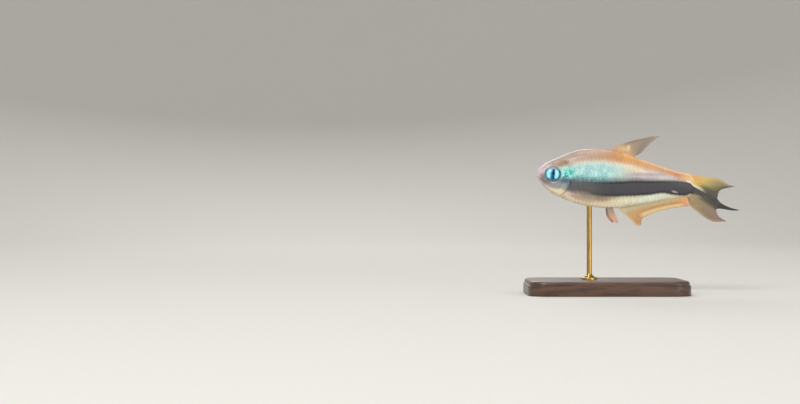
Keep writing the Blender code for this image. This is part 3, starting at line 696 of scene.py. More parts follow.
def scale_places():
    """Station, arc height and kind of every scale of one side. Kind 1 is a scale on a midline."""
    places = []
    for row in SCALE_ROWS:
        x = ROW_START + (row % 2) * 0.5 * SCALE_SPACING
        while x < ROW_END:
            arc = row * ROW_PITCH * scale_size(x)
            low, high = midlines(x)
            room = 0.3 * ROW_PITCH * scale_size(x)
            if low + room < arc < high - room:
                places.append((x, arc, 0))
            x += SCALE_SPACING * scale_size(x)
    for edge, (fin_start, fin_end) in ((0, ANAL_REACH), (1, DORSAL_REACH)):
        x = MIDLINE_START
        while x < MIDLINE_END:
            if not fin_start < x < fin_end:
                places.append((x, midlines(x)[edge], 1))
            x += SCALE_SPACING * scale_size(x)
    return places


def behind_gills(x, arc, size):
    """True where a scale's front edge is clear of the gill cover."""
    front = on_flank(np.array([x - 0.62 * size]), np.array([arc]))[0][0]
    gill, angle = from_arc(GILL_ARC, front[0], front[2])
    nape = 7.1 + 0.9 * ease(6.6, 4.4, front[2])
    return (gill > 0.28) if angle < 50.0 else (front[0] > nape)


def scale_form(size):
    """Steps along and across one scale, its lift, and how near its rear rim each point is."""
    u, v = np.meshgrid(np.linspace(0, 1, SCALE_GRID), np.linspace(-1, 1, SCALE_GRID), indexing="ij")
    front, rear = -0.72 * size, 0.78 * size * (1 - 0.42 * v**2)
    along = front + (rear - front) * u
    spread = 0.66 + 0.34 * np.sin(np.pi * np.clip(0.1 + 0.75 * u, 0, 1))
    across = 0.66 * ROW_PITCH * size * v * spread
    lift = 0.06 * u - 0.13 * np.clip(1 - u / 0.45, 0, 1) ** 2 - 0.02 * np.abs(v) ** 4
    rim = np.clip(np.maximum(ease(0.72, 1.0, u), ease(0.8, 1.0, np.abs(v)) * ease(0.3, 0.6, u)), 0, 1)
    return along, across, lift, rim


def scale_faces():
    """Faces of one closed scale: its top, and a fan from its edge to a point sunk in the skin."""
    index = np.arange(SCALE_GRID**2).reshape(SCALE_GRID, SCALE_GRID)
    edge = [*index[0, :], *index[1:, -1], *index[-1, -2::-1], *index[-2:0:-1, 0]]
    fan = [(a, b, SCALE_GRID**2) for a, b in zip(edge, edge[1:] + edge[:1])]
    return [tuple(face) for face in grid_faces(index)] + fan


# %% Lay the scales on both sides
BAKE_PATCH = 0.003
ROOT_DEPTH = 0.1


def coat(side):
    """All the scales of one side as one mesh. The two sides differ in their small irregularities."""
    mirror = np.array([1.0, side, 1.0])
    order = 1 if side > 0 else -1
    one_scale = scale_faces()
    middle = SCALE_GRID // 2
    count = SCALE_GRID**2 + 1
    points, faces, tones, rims, patches, spreads = [], [], [], [], [], []
    for x, arc, kind in scale_places():
        size = float(scale_size(x))
        if not behind_gills(x, arc, size) or (kind and side < 0):
            continue
        size = size * rng.uniform(0.96, 1.05)
        along, across, lift, rim = scale_form(size)
        turn = math.radians(rng.normal(0.0, 2.0))
        xs = x + rng.normal(0, 0.02) + along * math.cos(turn) - across * math.sin(turn)
        arcs = arc * (1 + (scale_size(xs) - scale_size(x)) / scale_size(x)) + along * math.sin(turn) + across
        place, normal = on_flank(xs, arcs)
        surface = place + normal * (lift * rng.uniform(0.9, 1.1))[..., None]
        root = place[middle, middle] - normal[middle, middle] * ROOT_DEPTH
        faces += [tuple(count * len(points) + k for k in face)[::order] for face in one_scale]
        points.append(np.concatenate([surface.reshape(-1, 3), [root]]) * mirror)
        tones.append(np.full(count, rng.uniform(-1, 1)))
        rims.append(np.append(rim.ravel(), 1.0))
        low, high = midlines(x)
        spot = opened_map(np.array([x]), np.array([(high - arc) / (high - low)]), side > 0)
        patches.append(np.repeat(spot, count, axis=0))
        spreads.append(np.append(np.stack([along, across], axis=2).reshape(-1, 2), [[0.0, 0.0]], axis=0))
    points = np.concatenate(points)
    attributes = marked(points)
    tone, rim = np.concatenate(tones), np.concatenate(rims)
    attributes["tone"] = tone
    attributes["rim"] = 0.18 * rim * (1 - attributes["shine"])
    # A painted glint on the rims of some scales, low on the flank.
    attributes["painted_rim_glint"] = 0.8 * rim * ease(-0.4, 0.7, tone) * ease(4.0, 2.4, points[:, 2])
    corners = np.concatenate([np.asarray(face) for face in faces])
    patch = np.concatenate(patches) + np.concatenate(spreads) * BAKE_PATCH / 2
    piece = make_piece(f"scales_{SIDE_NAMES[side]}", points, faces, attributes, patch[corners], crisp=True)
    print(piece.name, "has", len(tones), "scales and", triangles(piece), "triangles")
    return piece


scales = [coat(side) for side in (1, -1)]

# %% [markdown]
# ## The fins
# A fin is a fan of bony rays with a film of skin between them. The film is far thinner than the rays,
# which stand up as ridges on both faces, fork towards the fin's edge and end in fine points, so that the
# edge is slightly scalloped. Each fin is a patch between four curves: its first ray, its last ray, its
# root and its free edge. The patch is a grid with many columns to a ray, and its thickness follows the
# rays.

# %% Curves for the fins
RAY_COLUMNS = 12


def curve(*points):
    """A smooth plane curve through points, as a function of the share of its length."""
    steps = [math.dist(a, b) for a, b in zip(points, points[1:])]
    at = np.concatenate([[0.0], np.cumsum(steps)]) / sum(steps)
    knots = [[(s, p[axis]) for s, p in zip(at, points)] for axis in (0, 1)]
    return lambda t: np.stack([through(knot, np.asarray(t, float)) for knot in knots], axis=-1)


def along_outline(line, base, lift):
    """A fin's root: a line that follows the back or the belly, lift millimetres outside it."""
    def root(u):
        x = base[0] + (base[1] - base[0]) * np.asarray(u, float)
        slope = (outline(line, x + 0.1) - outline(line, x - 0.1)) / 0.2
        away = np.stack([-slope, np.ones_like(slope)], axis=-1)
        return np.stack([x, outline(line, x)], axis=-1) + lift * away / np.hypot(slope, 1.0)[..., None]
    return root


def patch(lead, trail, root, margin, u, s):
    """Points between four curves: u from the first ray to the last, s from root to edge."""
    u, s = u[..., None], s[..., None]
    return (
        (1 - u) * lead(s[..., 0]) + u * trail(s[..., 0]) + (1 - s) * root(u[..., 0]) + s * margin(u[..., 0])
        - (1 - u) * (1 - s) * root(0.0) - u * (1 - s) * root(1.0)
        - (1 - u) * s * margin(0.0) - u * s * margin(1.0)
    )


def ray_profile(u, s, rays, fork_at):
    """0 on the film and 1 on the crest of a ray, which forks once and then again on its way out."""
    number = u * (rays - 1)
    nearest = np.round(number)
    off = number - nearest
    forks = (nearest > 1.5) & (nearest < rays - 1.5)
    first = np.where(forks, 0.2 * ease(fork_at, 1.0, s), 0.0)
    second = np.where(forks, 0.09 * ease(fork_at + 0.3, 1.0, s), 0.0)
    width = 0.15 - 0.07 * s
    crests = [bump(off - a * first - b * second, width) for a in (-1, 1) for b in (-1, 1)]
    return np.clip(np.maximum.reduce(crests), 0, 1)


# %% One fin as a closed sheet
def fin_grid(lead, trail, root, margin, rays, rows, fork_at=0.45, scallop=0.12):
    """A grid of places in the fin's plane, with shares u and s and the rays' crests."""
    columns = (rays - 1) * RAY_COLUMNS + 1
    u, s = np.meshgrid(np.linspace(0, 1, columns), np.linspace(0, 1, rows), indexing="ij")
    crest = ray_profile(u, s, rays, fork_at)
    flat = patch(lead, trail, root, margin, u, s)
    short = np.linalg.norm(flat[:, -1] - flat[:, -2], axis=1)[:, None]
    between = 0.5 - 0.5 * np.cos(2 * np.pi * u * (rays - 1))
    pull = np.minimum(scallop * between * ease(0.8, 1.0, s), 4 * short)
    inward = unit(flat[:, -2] - flat[:, -1])
    edge = unit(np.gradient(flat[:, -1], axis=0))
    pull = pull * ((inward[:, 0] * edge[:, 1] - inward[:, 1] * edge[:, 0]) ** 2)[:, None]
    flat = flat + inward[:, None, :] * pull[..., None]
    return {"flat": flat, "u": u, "s": s, "crest": crest}


def fin_sheet(grid, place, film=(0.11, 0.05), ray=(0.17, 0.06), wave=0.0, waves=1.2):
    """A fin's closed mesh: two faces a film apart, raised along the rays. place hangs it on the fish."""
    u, s, crest = grid["u"], grid["s"], grid["crest"]
    half = film[0] + (film[1] - film[0]) * s + crest * (ray[0] + (ray[1] - ray[0]) * s)
    sway = wave * s**1.4 * np.sin(2 * np.pi * (waves * u + 0.35 * s))
    faces_of_fin = []
    for face in (-1, 1):
        local = np.stack([grid["flat"][..., 0], sway + face * half, grid["flat"][..., 1]], axis=-1)
        faces_of_fin.append(place(local).reshape(-1, 3))
    count = u.size
    index = np.arange(count).reshape(u.shape)
    left = grid_faces(index)
    rim = np.concatenate([index[:, 0], index[-1, 1:], index[-2::-1, -1], index[0, -2:0:-1]])
    after = np.roll(rim, -1)
    edge = np.stack([rim, count + rim, count + after, after], axis=1)
    points = np.concatenate(faces_of_fin)
    faces = np.concatenate([left, count + left[:, ::-1], edge])
    shares = {key: np.tile(grid[key].ravel(), 2) for key in ("u", "s", "crest")}
    return points, faces, shares


def make_fin(name, parts, extra=None):
    """One fin piece from one or more sheets. extra turns points and shares into more attributes."""
    points, faces, shares, used = [], [], {}, 0
    for sheet_points, sheet_faces, sheet_shares in parts:
        points.append(sheet_points)
        faces.append(sheet_faces + used)
        used += len(sheet_points)
        for key, values in sheet_shares.items():
            shares.setdefault(key, []).append(values)
    points, faces = np.concatenate(points), np.concatenate(faces)
    shares = {key: np.concatenate(values) for key, values in shares.items()}
    low, high = points.min(axis=0), points.max(axis=0)
    size = np.maximum(high - low, 1e-6)
    on_left = np.concatenate([
        np.repeat([True, False], len(sheet_points) // 2) for sheet_points, _, _ in parts
    ])
    across = (points[:, 0] - low[0]) / size[0] * 0.46 + np.where(on_left, 0.02, 0.52)
    uv = np.stack([across, (points[:, 2] - low[2]) / size[2] * 0.96 + 0.02], axis=1)[faces.ravel()]
    attributes = {**shares, "fish_mm": points}
    if extra:
        attributes.update(extra(points, shares))
    piece = make_piece(name, points, faces, attributes, uv)
    print(name, "has", triangles(piece), "triangles")
    return piece


def upright(local):
    """A fin on the midline stays where it is."""
    return local


# %% [markdown]
# ## Back fin and anal fin
# The male's back fin is a swept-back sickle with about eleven rays. The anal fin is the long one under
# the tail: its first rays make a deep lobe and then it runs on, low and even, almost to the tail. Both
# roots are sunk in the body, as real ones are.

# %% Dorsal and anal fins
ROOT_SINK = 0.9


def dorsal_shades(points, shares):
    """A cream patch with a bright streak near the fin's root, painted as a highlight, and a rosy grey front
    edge.
    """
    x, z = points[:, 0], points[:, 2]
    return {
        "patch": 0.6 * oval(x, z, (23.3, 9.45), (1.5, 0.65), 0.7),
        # The streak is a painted highlight.
        "streak": 0.8 * oval(x, z, (24.4, 9.8), (0.4, 0.9), 0.6),
        "lead": 0.75 * ease(0.35, 0.05, shares["u"]) * ease(0.2, 0.4, shares["s"]),
        "line": 0.6 * ease(0.9, 0.98, shares["s"]),
    }


def dorsal_fin():
    root = along_outline(BACK_LINE, (20.0, 25.9), -ROOT_SINK)
    apex, heel = (32.9, 13.75), (27.2, 8.0)
    lead = curve(
        tuple(root(0.0)), (20.3, 9.15), (22.7, 10.6), (25.1, 11.65), (27.8, 12.55), (30.5, 13.35), apex,
    )
    trail = curve(tuple(root(1.0)), (26.3, 7.6), heel)
    margin = curve(apex, (30.75, 11.95), (29.3, 10.2), (28.0, 8.6), heel)
    grid = fin_grid(lead, trail, root, margin, rays=11, rows=70)
    return make_fin("dorsal_fin_skin", [fin_sheet(grid, upright, wave=0.16)], dorsal_shades)


def anal_shades(points, shares):
    """A cream first ray and rim, an orange lobe with a pale tip, and an orange rear end."""
    u, s = shares["u"], shares["s"]
    x, z = points[:, 0], points[:, 2]
    low_part = ease(0.16, 0.28, u)
    return {
        "end": 0.8 * ease(36.5, 40.5, x),
        "brown": 0.5 * bump(s - 0.6, 0.08) * low_part * ease(0.94, 0.86, u),
        "lobe": 0.75 * oval(x, z, (29.0, -9.6), (1.0, 1.6), 0.6),
        "lead": 0.8 * ease(0.05, 0.012, u),
        "strip": 0.85 * ease(0.66, 0.78, s) * low_part * ease(0.93, 0.82, u),
        "line": 0.8 * ease(0.965, 0.99, s),
        "tip": 0.8 * ease(-10.5, -11.2, z),
    }


def anal_fin():
    root = along_outline(BELLY_LINE, (23.2, 41.6), ROOT_SINK)
    lobe, heel = (28.6, -11.3), (42.9, -4.55)
    lead = curve(tuple(root(0.0)), (23.35, -7.25), (25.1, -8.6), (26.9, -10.0), lobe)
    trail = curve(tuple(root(1.0)), (42.28, -3.15), heel)
    margin = curve(
        lobe, (29.3, -11.45), (29.85, -11.1), (29.8, -9.6), (30.75, -8.8), (32.05, -8.0), (34.0, -7.05),
        (37.35, -5.9), (40.0, -5.2), heel,
    )
    grid = fin_grid(lead, trail, root, margin, rays=27, rows=44, scallop=0.07)
    sheet = fin_sheet(grid, upright, film=(0.12, 0.06), wave=0.14, waves=2.6)
    return make_fin("anal_fin_skin", [sheet], anal_shades)


dorsal, anal = dorsal_fin(), anal_fin()

# %% [markdown]
# ## The tail fin
# The male's tail is a trident: a long upper lobe, a rounder lower lobe and the streamer of the middle
# rays, which carries the body's black band out of the fork. It is built as three patches that share their
# seams, so that it stays one sheet, and each point knows how far it is from the dark middle.

# %% Tail fin
TAIL_ROOT = 41.2
UPPER_SEAM = ((43.5, 0.72), (45.2, -0.1), (46.9, -0.85), (50.35, -2.0))
LOWER_SEAM = ((43.5, -1.3), (44.9, -1.45), (46.9, -2.25), (49.4, -3.55), (50.3, -4.75))
STREAMER_TOP = ((51.3, -2.85), (52.9, -3.6), (54.8, -4.1))


def tail_root(top, bottom):
    """A piece of the tail fin's root, inside the end of the tail."""
    def root(u):
        u = np.asarray(u, float)
        return np.stack([TAIL_ROOT + 0 * u, top + (bottom - top) * u], axis=-1)
    return root


def tail_shades(points, shares):
    """Dark where the middle rays are and upper above them, a painted highlight on the outer edges and
    painted dark beside the fork.
    """
    x, z = points[:, 0], points[:, 2]
    streamer_top = ((41.0, 1.75), (42.4, 1.45), *UPPER_SEAM, *STREAMER_TOP, (57.0, -4.35))
    streamer_low = ((41.0, -1.9), (42.4, -1.55), *LOWER_SEAM[:-1], (51.2, -4.5), (54.8, -4.75), (57.0, -4.8))
    top = z - through(streamer_top, x) - 0.2 * ease(42.5, 45.0, x)
    low = z - through(streamer_low, x)
    soften = 0.25 + 0.12 * ease(44.0, 50.0, x)
    edge = np.minimum(np.abs(top), np.abs(low))
    near = np.where(top > 0, ease(2.8, 0.9, edge), ease(1.7, 0.4, edge))
    outer = np.where(top > 0, 1 - shares["u"], np.where(low < 0, shares["u"], 0.0))
    return {
        "dark": ease(soften, -soften, top) * ease(-soften, soften, low),
        "upper": ease(-0.2, 0.2, top),
        # A painted highlight along the lobes' outer edges.
        "outer": np.where(top > 0, 0.75, 0.35) * ease(0.8, 0.94, outer) * ease(0.5, 1.2, edge),
        # Painted dark beside the fork, as if a dark background showed through the film.
        "beside": 0.95 * near * ease(0.25, 0.65, shares["s"]),
        "glow": 0.85 * bump(top - 0.3, 0.36) * span(x, 41.4, 42.4, 44.6, 47.4),
    }


def tail_fin():
    tip_up, tip_low = (55.1, 1.9), (53.6, -7.85)
    streamer, under_streamer = (56.8, -4.4), (56.8, -4.52)
    heights = (3.6, 1.45, -1.25, -1.95)
    upper_root, middle_root, lower_root = [tail_root(top, low) for top, low in zip(heights, heights[1:])]
    upper_seam = curve(tuple(middle_root(0.0)), *UPPER_SEAM)
    lower_seam = curve(tuple(middle_root(1.0)), *LOWER_SEAM)
    outer_up = curve(
        tuple(upper_root(0.0)), (42.6, 4.02), (44.7, 3.9), (46.8, 3.76), (48.9, 3.8), (50.3, 3.6),
        (51.7, 3.02), (53.1, 2.3), tip_up,
    )
    outer_low = curve(
        tuple(lower_root(1.0)), (42.3, -2.9), (42.8, -4.3), (44.2, -5.45), (45.7, -6.35), (47.2, -7.28),
        (48.6, -7.95), (50.0, -8.28), (51.4, -8.2), tip_low,
    )
    upper = fin_grid(
        outer_up, upper_seam, upper_root,
        curve(tip_up, (53.2, 1.45), (51.9, 1.0), (51.0, 0.5), (50.55, -0.3), UPPER_SEAM[-1]),
        rays=9, rows=70, fork_at=0.3,
    )
    streamer_top = curve(tuple(middle_root(0.0)), *UPPER_SEAM, *STREAMER_TOP, streamer)
    streamer_low = curve(
        tuple(middle_root(1.0)), *LOWER_SEAM, (51.2, -4.55), (52.8, -4.6), (54.8, -4.72), under_streamer
    )
    middle = fin_grid(
        streamer_top, streamer_low, middle_root, curve(streamer, under_streamer),
        rays=5, rows=90, fork_at=0.6, scallop=0.0,
    )
    lower = fin_grid(
        lower_seam, outer_low, lower_root,
        curve(LOWER_SEAM[-1], (50.45, -5.5), (51.0, -6.5), (51.85, -7.1), tip_low),
        rays=9, rows=70, fork_at=0.3,
    )
    grids = (upper, middle, lower)
    sheets = [fin_sheet(grid, upright, film=(0.12, 0.05), ray=(0.13, 0.045)) for grid in grids]
    return make_fin("tail_fin_skin", sheets, tail_shades)


tail = tail_fin()

# %% [markdown]
# ## The paired fins
# The pelvic fins hang under the belly and are swept back. The pectoral fins grow low behind the gill
# covers and are so clear that the photo doesn't show them, so they follow the species: small, faintly
# rayed fans laid back along the flank. Each is made flat, then turned and hung on the body.

# %% Pelvic and pectoral fins
PELVIC_SPREAD, PELVIC_LEAN = 0.75, math.radians(9.0)
PECTORAL_PLACE = (10.2, -4.2)
PECTORAL_SPLAY, PECTORAL_DROOP, PECTORAL_ROLL = (math.radians(a) for a in (24.0, 10.0, 20.0))


def hung(matrix):
    """A place function from a matrix in millimetres."""
    turn = np.array(matrix.to_3x3())
    shift = np.array(matrix.translation)
    return lambda local: local @ turn.T + shift


def pelvic_fin(side, forward):
    front, rear, inside = 19.7, 21.4, -6.6
    tip, heel = (23.1 - forward, -11.3), (23.3 - forward, -10.95)
    lead = curve((front, inside), (20.6 - 0.4 * forward, -9.3), (22.0 - 0.8 * forward, -10.75), tip)
    trail = curve((rear, inside), (22.2 - 0.4 * forward, -8.6), (22.95 - 0.8 * forward, -9.9), heel)
    hinge_z = float(outline(BELLY_LINE, front))
    place = (
        Matrix.Translation((0.0, side * PELVIC_SPREAD, hinge_z))
        @ Matrix.Rotation(side * PELVIC_LEAN, 4, "X")
        @ Matrix.Translation((0.0, 0.0, -hinge_z))
    )
    grid = fin_grid(
        lead, trail, curve((front, inside), (rear, inside)), curve(tip, heel), rays=8, rows=60, scallop=0.04,
    )
    sheet = fin_sheet(grid, hung(place), film=(0.1, 0.05), ray=(0.14, 0.05))
    return make_fin(f"pelvic_fin_{SIDE_NAMES[side]}_skin", [sheet])


def side_at(x, z):
    """Half width of the body at a place on its side."""
    middle = outline(WIDEST_HEIGHT, x)
    reach = outline(BACK_LINE, x) - middle if z > middle else middle - outline(BELLY_LINE, x)
    power = outline(ROUNDNESS, x)
    return float(outline(HALF_WIDTH, x) * (1 - (abs(z - middle) / reach) ** power) ** (1 / power))


def pectoral_fin(side):
    lead = curve((-1.2, 0.7), (1.2, 1.15), (4.0, 1.45), (6.9, 0.75))
    trail = curve((-1.2, -0.6), (1.2, -0.95), (4.3, -1.75))
    margin = curve((6.9, 0.75), (6.75, 0.0), (5.9, -1.0), (4.3, -1.75))
    place = (
        Matrix.Translation((PECTORAL_PLACE[0], side * side_at(*PECTORAL_PLACE), PECTORAL_PLACE[1]))
        @ Matrix.Rotation(side * PECTORAL_SPLAY, 4, "Z")
        @ Matrix.Rotation(PECTORAL_DROOP, 4, "Y")
        @ Matrix.Rotation(-side * PECTORAL_ROLL, 4, "X")
    )
    grid = fin_grid(lead, trail, curve((-1.2, 0.7), (-1.2, -0.6)), margin, rays=12, rows=60, scallop=0.1)
    sheet = fin_sheet(grid, hung(place), film=(0.06, 0.03), ray=(0.1, 0.04), wave=0.1)
    return make_fin(f"pectoral_fin_{SIDE_NAMES[side]}_skin", [sheet])


pelvics = [pelvic_fin(1, 0.9), pelvic_fin(-1, 0.0)]
pectorals = [pectoral_fin(1), pectoral_fin(-1)]

# %% [markdown]
# ## The eyes
# The eye nearly fills the depth of the head. It is a flattened ball, as in the solids, with a clear bulge
# over the pupil, and it sits in a shallow socket. Its blue is in the iris and is split by a dark upright
# bar, so the eye carries its own plane coordinates for the material to draw on.

# %% Eyeballs
EYE_HALF_DEPTH = 1.0
EYE_BULGE = 0.04
EYE_TOE_IN = math.radians(10.0)
EYE_RINGS, EYE_SPOKES = 44, 96


def eyeball(side):
    """A closed, flattened ball seen from the side, with a low bulge over the pupil."""
    tilt = np.linspace(0.0, np.pi, EYE_RINGS)[1:-1]
    turn = 2 * np.pi * np.arange(EYE_SPOKES) / EYE_SPOKES
    radius = EYE_RADIUS * np.sin(tilt)[:, None]
    facing = np.cos(tilt)[:, None]
    out = (EYE_HALF_DEPTH - EYE_BULGE) * facing + EYE_BULGE * bump(radius, 0.75) * (facing > 0)
    u, v = radius * np.cos(turn), radius * np.sin(turn)
    front = np.stack([u, side * (out + 0 * turn), v], axis=2).reshape(-1, 3)
    poles = [[0.0, side * EYE_HALF_DEPTH, 0.0], [0.0, -side * (EYE_HALF_DEPTH - EYE_BULGE), 0.0]]
    local = np.concatenate([front, poles])
    c, s = math.cos(side * EYE_TOE_IN), math.sin(side * EYE_TOE_IN)
    turned = local @ np.array([[c, -s, 0.0], [s, c, 0.0], [0.0, 0.0, 1.0]]).T
    points = turned + np.array([EYE_X, side * EYE_Y, EYE_Z])
    rows, count = len(tilt), len(front)
    spoke = np.arange(EYE_SPOKES)
    after = (spoke + 1) % EYE_SPOKES
    start = np.arange(rows - 1)[:, None] * EYE_SPOKES
    next_ring = start + EYE_SPOKES
    quads = np.stack([start + spoke, start + after, next_ring + after, next_ring + spoke], axis=2)
    caps = [(count, b, a) for a, b in zip(spoke, after)]
    last = (rows - 1) * EYE_SPOKES
    caps += [(count + 1, last + a, last + b) for a, b in zip(spoke, after)]
    faces = [tuple(int(k) for k in face) for face in [*quads.reshape(-1, 4), *caps]]
    if side > 0:
        faces = [face[::-1] for face in faces]
    piece = make_piece(f"eyeball_{SIDE_NAMES[side]}", points, faces, {"eye_mm": local})
    print(piece.name, "stands out to", round(float(np.abs(points[:, 1]).max()), 2), "mm from the midline")
    return piece


eyes = [eyeball(1), eyeball(-1)]

# %% [markdown]
# ## The stand
# A swimming fish needs something to hold it. The stand is a small plate of dark, satin-varnished hardwood
# with a rounded top edge, and a thin turned brass rod with a spread foot. The plate is a rounded
# rectangle carried through a short list of steps that make its moulded edge, and the rod is a turned
# outline.

# %% Helpers for the stand, in the model's metres
def turned(profile, sides, middle_x=0.0):
    """Loops of points round an upright axis, one for each radius and height of a profile."""
    turns = [2 * math.pi * k / sides for k in range(sides)]
    return [[(middle_x + r * math.cos(t), r * math.sin(t), z) for t in turns] for r, z in profile]


def world_piece(name, loops, faces):
    """A smooth-shaded mesh object from loops of points in metres."""
    mesh = bpy.data.meshes.new(name)
    mesh.from_pydata([point for loop in loops for point in loop], [], faces)
    mesh.validate()
    mesh.shade_smooth()
    mesh.set_sharp_from_angle(angle=math.radians(35.0))
    piece = bpy.data.objects.new(name, mesh)
    bpy.context.scene.collection.objects.link(piece)
    return piece


def stacked(loops):
    """Faces that join closed loops of points one above the other, with both ends filled."""
    count = len(loops[0])
    faces = [tuple(range(count))[::-1]]
    for level in range(len(loops) - 1):
        low, high = level * count, (level + 1) * count
        for k in range(count):
            after = (k + 1) % count
            faces.append((low + k, low + after, high + after, high + k))
    top = (len(loops) - 1) * count
    faces.append(tuple(top + k for k in range(count)))
    return faces


# %% The wooden base
CORNER_RADIUS = 5.0 * MM
CORNER_STEPS = 14
base_low, base_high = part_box("stand_base")
base_height = base_high.z - base_low.z


def plate_loop(inset, z):
    """A rounded rectangle at height z, smaller than the base by inset all round."""
    reach_x = (base_high.x - base_low.x) / 2 - CORNER_RADIUS
    reach_y = (base_high.y - base_low.y) / 2 - CORNER_RADIUS
    middle_x, middle_y = (base_high.x + base_low.x) / 2, (base_high.y + base_low.y) / 2
    loop = []
    for quarter, (sx, sy) in enumerate(((1, 1), (-1, 1), (-1, -1), (1, -1))):
        for step in range(CORNER_STEPS + 1):
            turn = (quarter + step / CORNER_STEPS) * math.pi / 2
            radius = CORNER_RADIUS - inset
            x = middle_x + sx * reach_x + radius * math.cos(turn)
            y = middle_y + sy * reach_y + radius * math.sin(turn)
            loop.append((x, y, z))
    return loop


def base_piece():
    """The plate: a softened foot, an upright side, a small step and a rounded top edge."""
    soft, step, round_over = 0.25 * MM, 0.35 * MM, 0.8 * MM
    shoulder = base_height - step - round_over
    profile = [(soft, 0.0), (0.3 * soft, 0.3 * soft), (0.0, soft), (0.0, shoulder - 0.3 * MM)]
    profile += [(0.05 * MM, shoulder - 0.1 * MM), (step, shoulder), (step, shoulder + 0.25 * MM)]
    for turn in np.linspace(0.0, math.pi / 2, 9):
        profile.append((
            step + round_over * (1 - math.cos(turn)),
            base_height - round_over * (1 - math.sin(turn)),
        ))
    loops = [plate_loop(inset, base_low.z + z) for inset, z in profile]
    return world_piece("base_plate", loops, stacked(loops))


base = base_piece()
print("the base is", [round(1000 * d, 1) for d in base.dimensions], "mm")

# %% The brass rod
ROD_SIDES = 64
rod_low, rod_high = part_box("stand_rod")
rod_x = (rod_low.x + rod_high.x) / 2
ROD_RADIUS = 0.7 * MM
ROD_FOOT = 2.2 * MM
ROD_REACH = 1.2 * MM


def rod_piece():
    """A turned rod: a domed foot with a bead, then the plain shaft that runs on into the belly."""
    low = base_high.z - 0.02 * MM
    bead = [(1.25, 0.78), (1.32, 0.9), (1.25, 1.04), (1.0, 1.12), (0.82, 1.3)]
    profile = [(ROD_FOOT, low), (ROD_FOOT, low + 0.45 * MM)]
    for turn in np.linspace(0.2, math.pi / 2, 6):
        radius = ROD_FOOT - 0.3 * MM * (1 - math.cos(turn))
        profile.append((radius, low + (0.42 + 0.25 * math.sin(turn)) * MM))
    profile += [(radius * MM, low + height * MM) for radius, height in bead]
    profile += [(ROD_RADIUS, low + 1.7 * MM), (ROD_RADIUS, rod_high.z + ROD_REACH)]
    loops = turned(profile, ROD_SIDES, rod_x)
    return world_piece("brass_rod", loops, stacked(loops))


rod = rod_piece()
print("the rod is", round(1000 * rod.dimensions.z, 1), "mm tall")

# %% [markdown]
# ## Materials
# Each material starts from what the real thing is. Colours are given as the hex values that one would
# pick from a picture and turned into the linear values that the shader needs. One small function adds a
# node with its settings and links and hands back what comes out of it, so that a material reads as a list
# of what feeds what. A second one lays colours over one another like thin washes of paint, each by its
# own share.

# %% Colour and node helpers
def linear(hex_colour):
    """An sRGB hex value as linear RGBA."""
    values = [int(hex_colour[k:k + 2], 16) / 255 for k in (1, 3, 5)]
    return (*[v / 12.92 if v <= 0.04045 else ((v + 0.055) / 1.055) ** 2.4 for v in values], 1.0)


def feed(tree, node, feeds):
    """Fills a node's inputs, by name or in order, with an output, a hex colour or a plain value."""
    for key, value in feeds.items() if isinstance(feeds, dict) else enumerate(feeds):
        if isinstance(value, bpy.types.NodeSocket):
            tree.links.new(value, node.inputs[key])
        else:
            node.inputs[key].default_value = linear(value) if isinstance(value, str) else value


def add(tree, kind, feeds=(), out=0, stops=(), **settings):
    """Adds a node with its settings, its links and its colour stops, and returns one of its outputs."""
    node = tree.nodes.new("ShaderNode" + kind)
    for key, value in settings.items():
        setattr(node, key, value)
    for _ in stops[2:]:
        node.color_ramp.elements.new(0.5)
    for element, (position, colour) in zip(node.color_ramp.elements if stops else (), stops):
        element.position = position
        element.color = linear(colour)
    feed(tree, node, feeds)
    return node.outputs[out]


def washed(tree, colour, *washes):
    """A colour with others laid over it. A wash is its share and its colour, and may say how it is laid."""
    for share, wash, *how in washes:
        mix = {"data_type": "RGBA", "blend_type": how[0] if how else "MIX"}
        colour = add(tree, "Mix", {0: share, 6: colour, 7: wash}, out=2, **mix)
    return colour


def new_material(name):
    """An empty node material, with its tree and its surface shader."""
    material = bpy.data.materials.new(name)
    material.use_nodes = True
    return material, material.node_tree, material.node_tree.nodes["Principled BSDF"]


# %% [markdown]
# ## Living skin
# A fish's colours come from layers: brown and black pigment cells, and stacks of clear guanine crystals
# that throw back turquoise and silver light. Over all lies a film of slime, which gives a wet, even
# gloss. So the pigment is the base colour, the crystals are the only metallic part, and the slime is a
# clear coat. A few painted highlights and a painted shade are laid into the base colour as well. The
# crystals are a few thousandths of a millimetre, so their glints are drawn as coarse as the render can
# show.

# %% Ground colours of the skin from snout to tail, and the washes over them
GLINT_MM = 0.16
SPARK_MM = 0.42
FRECKLE_MM = 0.3
BACK_COLOURS = [
    (0.0, "#f0d4de"), (0.03, "#ceb6bc"), (0.07, "#b09c94"), (0.12, "#a89387"), (0.24, "#ad9586"),
    (0.36, "#b89780"), (0.44, "#be906b"), (0.5, "#c68f5c"), (0.55, "#cd985a"), (0.62, "#cd9a66"),
    (0.75, "#cc9c74"), (0.88, "#c48a62"), (0.95, "#dfb476"), (1.0, "#dab26c"),
]
FLANK_COLOURS = [
    (0.0, "#d0bac6"), (0.05, "#c2b2b4"), (0.12, "#b9b3aa"), (0.2, "#9ccfc6"), (0.4, "#a8d2cc"),
    (0.54, "#c0cdbd"), (0.64, "#bdb3a6"), (0.74, "#bcb1ad"), (0.84, "#c2b0a6"), (0.89, "#bb9a80"),
    (0.95, "#d2b076"), (1.0, "#d4b062"),
]
BELLY_COLOURS = [
    (0.0, "#b9aaa3"), (0.06, "#c4b9ab"), (0.15, "#e8d8b4"), (0.22, "#d6bea8"), (0.3, "#dec096"),
    (0.38, "#e8ceaa"), (0.5, "#eee8c4"), (0.7, "#eaf0dc"), (0.86, "#e2dfc6"), (1.0, "#dcb88c"),
]
